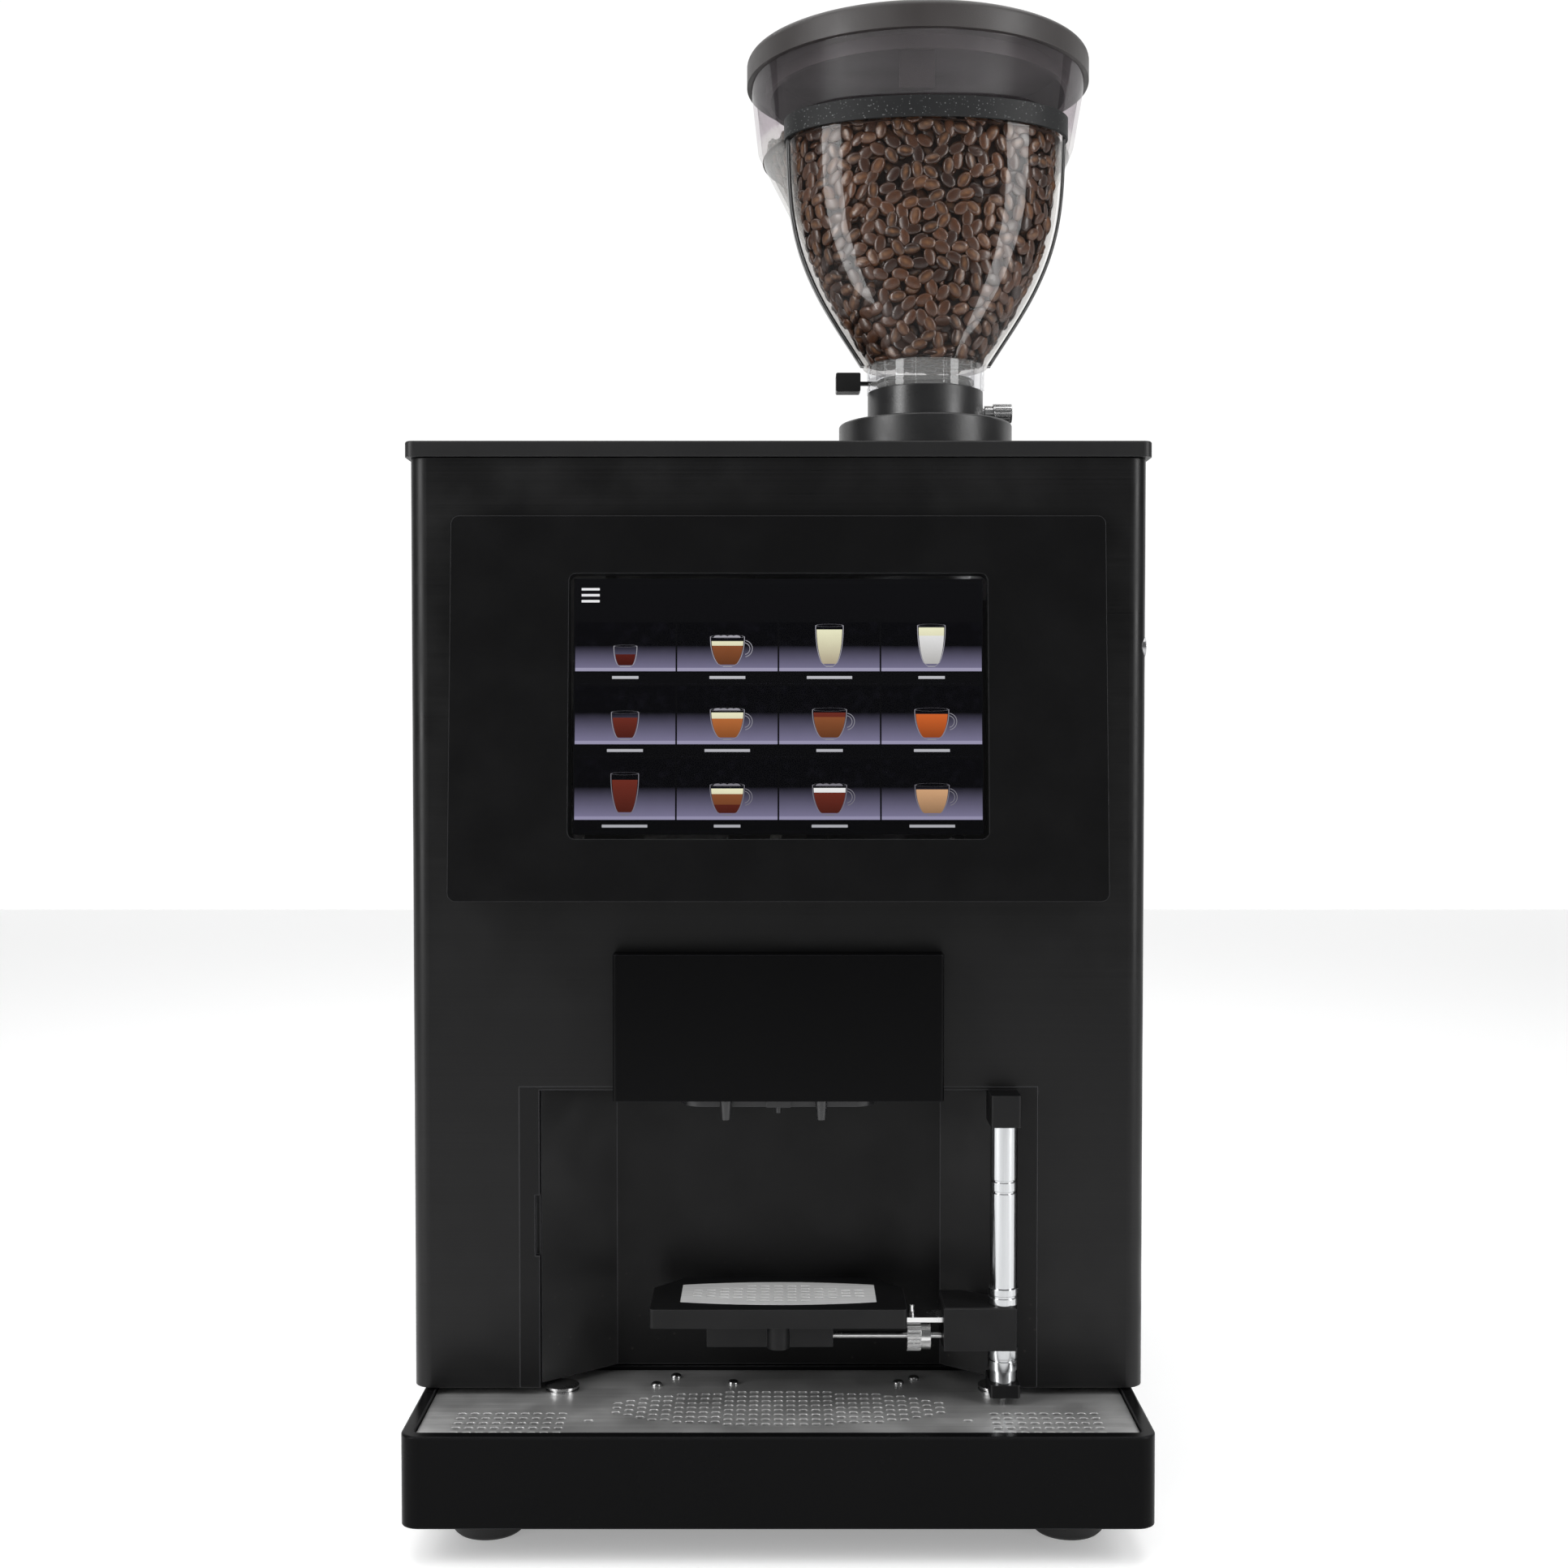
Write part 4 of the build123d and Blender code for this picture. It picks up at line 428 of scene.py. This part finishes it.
def mesh_object(name, points, faces, material, body, smooth=True):
    """A mesh that rides on a body."""
    mesh = bpy.data.meshes.new(name)
    mesh.from_pydata([tuple(p) for p in points], [], faces)
    mesh.update()
    for face in mesh.polygons:
        face.use_smooth = smooth
    mesh.materials.append(material)
    made = bpy.data.objects.new(name, mesh)
    bpy.context.scene.collection.objects.link(made)
    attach(made, body)
    return made


def surface_tree(name):
    """Search tree over a CAD node's surface."""
    mesh = NODES[name].data
    points = [vertex.co.copy() for vertex in mesh.vertices]
    return BVHTree.FromPolygons(points, [tuple(face.vertices) for face in mesh.polygons])


def lathe(profile, place, axis, sides=32):
    """Points and faces of a profile of (radius, height) pairs turned about an axis through place."""
    turn = mathutils.Vector((0, 0, 1)).rotation_difference(mathutils.Vector(axis)).to_matrix()
    points, faces = [], []
    for radius, height in profile:
        for step in range(sides):
            angle = 2 * math.pi * step / sides
            local = mathutils.Vector((radius * math.cos(angle), radius * math.sin(angle), height))
            points.append(mathutils.Vector(place) + turn @ local)
    for ring in range(len(profile) - 1):
        for step in range(sides):
            after = (step + 1) % sides
            low, high = ring * sides, (ring + 1) * sides
            faces.append((low + step, low + after, high + after, high + step))
    return points, faces


# ------------------------------------------------------------------ screen contents


class Screen:
    """Places flat shapes on the display, just in front of its face."""

    def __init__(self):
        low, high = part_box("display_panel")
        tilt = math.radians(SCREEN_TILT)
        self.up = mathutils.Vector((0, math.sin(tilt), math.cos(tilt)))
        self.out = mathutils.Vector((0, -math.cos(tilt), math.sin(tilt)))
        self.origin = mathutils.Vector((low.x, low.y, low.z + PANEL_DEPTH * MM * math.sin(tilt)))
        self.count = 0

    def place(self, u, v, layer):
        """The point u right and v up, on a layer in front of the display."""
        across = mathutils.Vector((u * MM, 0, 0))
        return self.origin + across + self.up * (v * MM) + self.out * (layer * LAYER_GAP * MM)

    def patch(self, shapes, layer, material, label):
        """One object from several outlines of (u, v) points."""
        points, faces = [], []
        for outline in shapes:
            start = len(points)
            points += [self.place(u, v, layer) for u, v in outline]
            faces.append(tuple(range(start, start + len(outline))))
        self.count += 1
        return mesh_object(f"screen_{label}_{self.count:02d}", points, faces, material, "door", smooth=False)


def rectangle(u, v, width, height):
    """Corners of a rectangle."""
    return [(u, v), (u + width, v), (u + width, v + height), (u, v + height)]


def cup_outline(u, v, width, height, foot, low, high):
    """Part of a round-bottomed glass or cup between two shares of its height."""
    steps = 10
    right, left = [], []
    for step in range(steps + 1):
        share = low + (high - low) * step / steps
        swell = math.sqrt(max(0.0, 1 - (1 - min(1.0, share * 1.08)) ** 1.9))
        half = width / 2 * (foot + (1 - foot) * swell)
        right.append((u + half, v + height * share))
        left.append((u - half, v + height * share))
    return right + left[::-1]


def ring_strip(u, v, outer, inner, start, end, stretch=1.0):
    """Outlines of a ring's arc, for handles and rims."""
    steps = 12
    shapes = []
    for step in range(steps):
        first = math.radians(start + (end - start) * step / steps)
        second = math.radians(start + (end - start) * (step + 1) / steps)
        shapes.append([
            (u + inner * math.cos(first), v + stretch * inner * math.sin(first)),
            (u + outer * math.cos(first), v + stretch * outer * math.sin(first)),
            (u + outer * math.cos(second), v + stretch * outer * math.sin(second)),
            (u + inner * math.cos(second), v + stretch * inner * math.sin(second)),
        ])
    return shapes


DARK_RED = (0.09, 0.012, 0.008, 1)
MAROON = (0.12, 0.02, 0.012, 1)
BROWN = (0.22, 0.07, 0.025, 1)
ORANGE = (0.42, 0.13, 0.035, 1)
TEA = (0.5, 0.1, 0.02, 1)
TAN = (0.52, 0.3, 0.16, 1)
CREAM = (0.8, 0.66, 0.46, 1)
WHITE = (0.85, 0.83, 0.8, 1)

# kind, then layers of (top share, colour) from the bottom up
DRINKS = (
    (("shot", ((0.6, DARK_RED),)), ("cup", ((0.7, BROWN), (0.85, CREAM))),
     ("tall", ((0.9, CREAM),)), ("tall", ((0.75, WHITE), (0.95, CREAM)))),
    (("small", ((0.8, MAROON),)), ("cup", ((0.7, ORANGE), (0.9, CREAM))),
     ("cup", ((0.75, BROWN), (0.9, MAROON))), ("cup", ((0.85, TEA),))),
    (("tall", ((0.85, MAROON),)), ("cup", ((0.35, MAROON), (0.7, BROWN), (0.88, CREAM))),
     ("cup", ((0.75, MAROON), (0.9, WHITE))), ("cup", ((0.85, TAN),))),
)
# width, height and foot share of each kind
SIZES = {
    "shot": (12.6, 11.0, 0.45), "small": (14.8, 14.6, 0.35), "tall": (15.0, 22.0, 0.25),
    "cup": (18.4, 16.0, 0.25),
}


def add_drink(screen, kind, layers, u, v, edge_material):
    """One drink in its glass or handled cup."""
    width, height, foot = SIZES[kind]
    wall = 1.5
    low = 0.07
    for high, color in layers:
        outline = cup_outline(u, v, width - wall, height, foot, low, high)
        base = screen.place(u, v, 2).z
        span = (base, base + height * MM)
        material = lit_material("drink_color", shade(color, 0.55), shade(color, 1.5), span, 0.9)
        screen.patch([outline], 2, material, "drink")
        low = high
    edge = 0.36
    full = cup_outline(u, v, width, height, foot, 0.0, 1.0)
    count = len(full) // 2
    shapes = []
    for (x1, y1), (x2, y2) in zip(full[:count - 1], full[1:count]):
        shapes.append([(x1 - edge, y1), (x1, y1), (x2, y2), (x2 - edge, y2)])
        shapes.append([(2 * u - x1, y1), (2 * u - x1 + edge, y1), (2 * u - x2 + edge, y2), (2 * u - x2, y2)])
    if kind == "cup":
        middle = (u + width / 2 - 0.4, v + height * 0.6)
        shapes += ring_strip(*middle, 4.6, 4.25, -80, 80)
        shapes += ring_strip(*middle, 3.3, 2.95, -80, 80)
    shapes.append(rectangle(u - width * foot / 2, v - 0.1, width * foot, 0.5))
    shapes += ring_strip(u, v + height, width / 2, width / 2 - 0.35, 0, 360, 0.1)
    screen.patch(shapes, 3, edge_material, "glass")
    if layers[-1][1] in (CREAM, WHITE) and kind == "cup":
        foam = []
        for spot in (-0.28, -0.1, 0.1, 0.26):
            foam += ring_strip(u + width * spot, v + height * 0.97, 2.2, 0.0, 0, 180, 0.55)
        screen.patch(foam, 2.5, edge_material, "foam")


def add_screen():
    """Menu of the touch screen: a top bar and twelve drinks, each over a plain label."""
    screen = Screen()
    low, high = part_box("display_panel")
    span = (low.z, high.z)
    width = (high.x - low.x) / MM
    top = (high.z - low.z) / MM
    black = lit_material("screen_black", (0.001, 0.001, 0.0015, 1), (0.003, 0.003, 0.004, 1), span)
    pale = lit_material("screen_white", (0.75, 0.75, 0.78, 1), (0.95, 0.95, 0.97, 1), span, 0.9)
    edge = lit_material("glass_line", (0.2, 0.19, 0.22, 1), (0.55, 0.54, 0.6, 1), span, 0.8)
    label = lit_material("label_bar", (0.5, 0.5, 0.54, 1), (0.7, 0.7, 0.74, 1), span, 0.8)
    shelf = lit_material("shelf_line", (0.32, 0.3, 0.45, 1), (0.4, 0.38, 0.52, 1), span, 0.9)
    screen.patch([rectangle(0, 0, width, top)], 0.3, black, "ground")
    icon = [rectangle(4.0, top - 6.2 - 3.2 * row, 9.6, 1.3) for row in range(3)]
    screen.patch(icon, 1, pale, "menu_icon")
    bars, shelves, bands = [], [], []
    for row, (v, height) in enumerate(TILE_ROWS):
        tiles = []
        for column in range(4):
            u = TILE_LEFT + column * TILE_PITCH
            tiles.append(rectangle(u, v, TILE_WIDTH, height))
            bands.append(rectangle(u, v, TILE_WIDTH, LABEL_HEIGHT))
            shelves.append(rectangle(u, v + LABEL_HEIGHT, TILE_WIDTH, SHELF_LEVEL - LABEL_HEIGHT))
            middle = u + TILE_WIDTH / 2
            length = 14.0 + 5.0 * ((row * 4 + column) % 3)
            bars.append(rectangle(middle - length / 2, v + 2.5, length, 1.5))
            kind, layers = DRINKS[row][column]
            add_drink(screen, kind, layers, middle, v + SHELF_LEVEL + 0.6, edge)
        start = screen.place(0, v, 1).z
        fade = (start + 4 * MM, start + 0.62 * height * MM)
        ground = lit_material("tile_ground", (0.27, 0.25, 0.4, 1), (0.001, 0.001, 0.002, 1), fade, 0.9, 0.02)
        screen.patch(tiles, 0.7, ground, "tiles")
    screen.patch(bands, 1, black, "label_bands")
    screen.patch(shelves, 1, shelf, "shelves")
    screen.patch(bars, 1.5, label, "labels")


def add_screen_rim():
    """Fine pale rim around the screen's window."""
    low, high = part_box("touch_glass")
    tilt = math.radians(SCREEN_TILT)
    out = mathutils.Vector((0, -math.cos(tilt), math.sin(tilt)))
    up = mathutils.Vector((0, math.sin(tilt), math.cos(tilt)))
    depth = RIM_DEPTH * MM
    origin = mathutils.Vector(((low.x + high.x) / 2, low.y, low.z + 1.8 * MM * math.sin(tilt))) + out * depth
    half = (high.x - low.x) / 2
    height = WINDOW_HEIGHT * MM
    radius = WINDOW_RADIUS * MM
    corners = (
        (half - radius, radius, -90), (half - radius, height - radius, 0),
        (radius - half, height - radius, 90), (radius - half, radius, 180))
    points = []
    for width in (0.0, RIM_WIDTH * MM):
        for x, z, start in corners:
            for step in range(7):
                angle = math.radians(start + 15 * step)
                reach = radius + width
                across = mathutils.Vector((x + reach * math.cos(angle), 0, 0))
                points.append(origin + across + up * (z + reach * math.sin(angle)))
    count = len(points) // 2
    faces = [(i, (i + 1) % count, count + (i + 1) % count, count + i) for i in range(count)]
    material = solid_material("rim_line", (0.09, 0.09, 0.095), 0.3, grain=0.1)
    mesh_object("screen_rim", points, faces, material, "door")


# ------------------------------------------------------------------ beans


def bean_shape():
    """Points, faces and crease shares of one bean: flat below, domed above, with an open crease."""
    rings, sides = 9, 12
    points, creases = [], []
    for ring in range(rings):
        along = math.pi * (ring + 0.5) / rings
        for side in range(sides):
            turn = 2 * math.pi * side / sides
            x = -math.cos(along) * BEAN_LENGTH / 2
            y = math.sin(along) ** 0.9 * math.cos(turn) * BEAN_WIDTH / 2
            z = math.sin(along) ** 0.8 * math.sin(turn) * BEAN_THICKNESS / 2
            crease = 0.0
            if z < 0:
                z *= 0.55
            else:
                middle = max(0.0, 1 - abs(y + 0.5 * math.sin(x * 0.6)) / 0.9)
                crease = middle * math.sin(along)
                z -= 1.2 * crease
            points.append(mathutils.Vector((x, y, z)) * MM)
            creases.append(crease)
    faces = [tuple(range(sides))[::-1], tuple(range((rings - 1) * sides, rings * sides))]
    for ring in range(rings - 1):
        for side in range(sides):
            after = (side + 1) % sides
            low, high = ring * sides, (ring + 1) * sides
            faces.append((low + side, low + after, high + after, high + side))
    return points, faces, creases


def surface_places(mesh, spacing, wanted):
    """Random places on a mesh, no closer to each other than spacing, each with its normal."""
    mesh.calc_loop_triangles()
    triangles = [t for t in mesh.loop_triangles if t.area > 0]
    weights = [t.area for t in triangles]
    taken = {}
    places = []
    for triangle in random.choices(triangles, weights, k=wanted * 12):
        corners = [mesh.vertices[i].co for i in triangle.vertices]
        first, second = random.random(), random.random()
        if first + second > 1:
            first, second = 1 - first, 1 - second
        point = corners[0] + (corners[1] - corners[0]) * first + (corners[2] - corners[0]) * second
        cell = tuple(int(math.floor(value / spacing)) for value in point)
        around = itertools.product((-1, 0, 1), repeat=3)
        near = (taken.get((cell[0] + i, cell[1] + j, cell[2] + k)) for i, j, k in around)
        if any(other is not None and (other - point).length < spacing for other in near):
            continue
        taken[cell] = point
        places.append((point, triangle.normal.copy()))
    return places


def outside(skin, point):
    """Distance of a point in front of a surface, negative behind it."""
    nearest, normal, _, _ = skin.find_nearest(point)
    return (point - nearest).dot(normal)


def add_bean_layer(name, depth, spacing, wanted, lean, material):
    """Beans that lie against the inside of the heap's surface; any that would poke out is left out."""
    shape, shape_faces, creases = bean_shape()
    heap = NODES["coffee_beans"].data
    skin = surface_tree("coffee_beans")
    points, faces, tones, lines = [], [], [], []
    for place, normal in surface_places(heap, spacing, wanted):
        turn = normal.to_track_quat("Z", "Y").to_matrix()
        spin = mathutils.Matrix.Rotation(random.uniform(0, 2 * math.pi), 3, "Z")
        tip = mathutils.Matrix.Rotation(random.gauss(0, lean), 3, "X")
        flip = mathutils.Matrix.Rotation(math.pi if random.random() < 0.55 else 0.0, 3, "X")
        matrix = turn @ spin @ tip @ flip
        middle = place - normal * (depth * MM)
        tone = random.random()
        bean = [middle + matrix @ point for point in shape]
        if any(outside(skin, point) > BEAN_POKE * MM for point in bean[::3]):
            continue
        start = len(points)
        points += bean
        faces += [tuple(start + index for index in face) for face in shape_faces]
        tones += [tone] * len(shape)
        lines += creases
    made = mesh_object(name, points, faces, material, "hopper")
    for label, values in (("tone", tones), ("crease", lines)):
        attribute = made.data.attributes.new(label, "FLOAT", "POINT")
        attribute.data.foreach_set("value", values)
    return made


def add_beans(material):
    """Two layers of beans over a dark core, in place of the solid heap."""
    outer = add_bean_layer("beans_outer", 3.1, 6.3 * MM, 1900, 0.16, material)
    inner = add_bean_layer("beans_inner", 7.2, 6.6 * MM, 1600, 0.5, material)
    heap = NODES["coffee_beans"].data
    core_points = [v.co - v.normal * (9 * MM) for v in heap.vertices]
    core_faces = [tuple(f.vertices) for f in heap.polygons]
    dark = solid_material("bean_core", (0.03, 0.011, 0.005), 0.6, grain=1.0, grain_scale=300.0)
    core = mesh_object("beans_core", core_points, core_faces, dark, "hopper")
    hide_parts("coffee_beans")
    return inner, core


# ------------------------------------------------------------------ hopper details


def add_bowl_trim():
    """Black seams down both sides of the front bowl, from the ring to the collar."""
    tree = surface_tree("hopper_shell")
    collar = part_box("hopper_collar")
    middle_x = (collar[0].x + collar[1].x) / 2
    middle_y = (collar[0].y + collar[1].y) / 2 - 1 * MM
    low, high = collar[1].z + 0.5 * MM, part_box("hopper_ring")[0].z
    material = solid_material("seam_black", (0.012, 0.011, 0.011), 0.3, grain=0.1, coat=0.3)
    steps = 28
    for label, side in (("left", -1), ("right", 1)):
        points, faces = [], []
        for step in range(steps + 1):
            z = low + (high - low) * step / steps
            for dy, out in SEAM_PROFILE:
                start = mathutils.Vector((middle_x + side * SEAM_START, middle_y + dy * MM, z))
                hit = tree.ray_cast(start, mathutils.Vector((-side, 0, 0)))[0]
                points.append(hit + mathutils.Vector((side * out * MM, 0, 0)))
        for step in range(steps):
            for corner in range(4):
                after = (corner + 1) % 4
                a, b = step * 4, (step + 1) * 4
                faces.append((a + corner, a + after, b + after, b + corner))
        faces += [(0, 1, 2, 3), tuple(4 * steps + i for i in (3, 2, 1, 0))]
        mesh_object(f"bowl_seam_{label}", points, faces, material, "hopper")


def in_metres(profile):
    """A profile in millimetres turned to metres."""
    return [(radius * MM, height * MM) for radius, height in profile]


def add_mount_latch():
    """Small bright catch at the left of the hopper's base disc."""
    low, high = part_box("hopper_mount")
    place = (low.x + 1.6 * MM, (low.y + high.y) / 2 - 12 * MM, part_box("top_cover")[1].z)
    points, faces = lathe(in_metres(CATCH_PROFILE), place, (0, 0, 1))
    steel = solid_material("catch_steel", (0.7, 0.7, 0.7), 0.2, metallic=1.0)
    mesh_object("mount_catch", points, faces, steel, "cabinet")


def add_rear_screws():
    """Domed screws of the rear sheet, each with a dimple for the driver."""
    steel = solid_material("screw_black", (0.05, 0.05, 0.052), 0.3, metallic=0.8, grain=0.2)
    low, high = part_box("cabinet_wrap")
    for index, (x, z) in enumerate(REAR_SCREWS):
        place = ((high.x - REAR_SCREW_INSET * MM) * x, high.y, low.z + (high.z - low.z) * z)
        points, faces = lathe(in_metres(SCREW_PROFILE), place, (0, 1, 0), 20)
        mesh_object(f"rear_screw_{index}", points, faces, steel, "cabinet")


# ------------------------------------------------------------------ stage, light and camera


def stage_piece(name, points, faces, color, roughness):
    """A piece of the studio."""
    made = new_material(name)
    tree = made.node_tree
    base = mix_color(tree, noise(tree, 3.0), shade(color, 0.99), shade(color, 1.01))
    shader = put(tree, "ShaderNodeBsdfPrincipled", {
        "Base Color": base, "Roughness": roughness, "Emission Color": (1, 1, 1, 1), "Emission Strength": 0.3})
    put(tree, "ShaderNodeOutputMaterial", {"Surface": shader.outputs[0]})
    mesh = bpy.data.meshes.new(name)
    mesh.from_pydata(points, [], faces)
    for face in mesh.polygons:
        face.use_smooth = True
    mesh.materials.append(made)
    piece = bpy.data.objects.new(name, mesh)
    bpy.context.scene.collection.objects.link(piece)
    return piece


def add_floor():
    """Pale floor that covers the space around the object."""
    reach = FLOOR_REACH
    points = [(-reach, -reach, 0), (reach, -reach, 0), (reach, reach, 0), (-reach, reach, 0)]
    stage_piece("floor", points, [(0, 1, 2, 3)], (0.86, 0.86, 0.86), 0.6)


def add_area(name, place, target, size, power):
    """A rectangular softbox aimed at target."""
    light = bpy.data.lights.new(name, "AREA")
    light.shape = "RECTANGLE"
    light.size, light.size_y = size
    light.energy = power
    made = bpy.data.objects.new(name, light)
    made.location = place
    aim = mathutils.Vector(target) - mathutils.Vector(place)
    made.rotation_euler = aim.to_track_quat("-Z", "Y").to_euler()
    bpy.context.scene.collection.objects.link(made)


def add_backdrop():
    """Softly lit white wall behind the object."""
    made = new_material("backdrop")
    tree = made.node_tree
    tone = mix_color(tree, noise(tree, 0.4), (0.97, 0.97, 0.97, 1), (1, 1, 1, 1))
    light = put(tree, "ShaderNodeEmission", {"Color": tone, "Strength": 1.05})
    put(tree, "ShaderNodeOutputMaterial", {"Surface": light.outputs[0]})
    mesh = bpy.data.meshes.new("backdrop")
    points = [(-6, 3.2, -0.1), (6, 3.2, -0.1), (6, 3.2, 6), (-6, 3.2, 6)]
    mesh.from_pydata(points, [], [(0, 1, 2, 3)])
    mesh.materials.append(made)
    piece = bpy.data.objects.new("backdrop", mesh)
    bpy.context.scene.collection.objects.link(piece)


def add_light():
    """Two tall side softboxes, a broad one overhead, and a dim surround."""
    add_area("key_left", (-1.25, -1.0, 0.95), (0, 0, 0.45), (0.5, 1.5), 22)
    add_area("fill_right", (1.3, -0.95, 0.9), (0, 0, 0.45), (0.45, 1.4), 17)
    add_area("overhead", (0, -0.1, 2.0), (0, -0.1, 0.3), (2.2, 1.8), 30)
    world = bpy.data.worlds.new("surround")
    world.use_nodes = True
    tree = world.node_tree
    tree.nodes.clear()
    back = put(tree, "ShaderNodeBackground", {"Color": (0.93, 0.94, 0.95, 1), "Strength": 0.14})
    put(tree, "ShaderNodeOutputWorld", {"Surface": back.outputs[0]})
    bpy.context.scene.world = world
    bpy.context.scene.view_settings.view_transform = "Standard"


def add_camera():
    """Camera in front of the machine, level with the bottom of its screen."""
    data = bpy.data.cameras.new("camera")
    data.lens = CAMERA_LENS
    data.sensor_width = 36.0
    made = bpy.data.objects.new("camera", data)
    made.location = CAMERA_PLACE
    made.rotation_euler = (math.radians(90 + CAMERA_PITCH), 0, 0)
    bpy.context.scene.collection.objects.link(made)
    bpy.context.scene.camera = made


# ------------------------------------------------------------------ whole scene

materials = finishes()
dress_nodes(materials)
add_screen()
add_screen_rim()
add_beans(materials["beans"])
add_bowl_trim()
add_mount_latch()
add_rear_screws()
add_floor()
add_backdrop()
add_light()
add_camera()
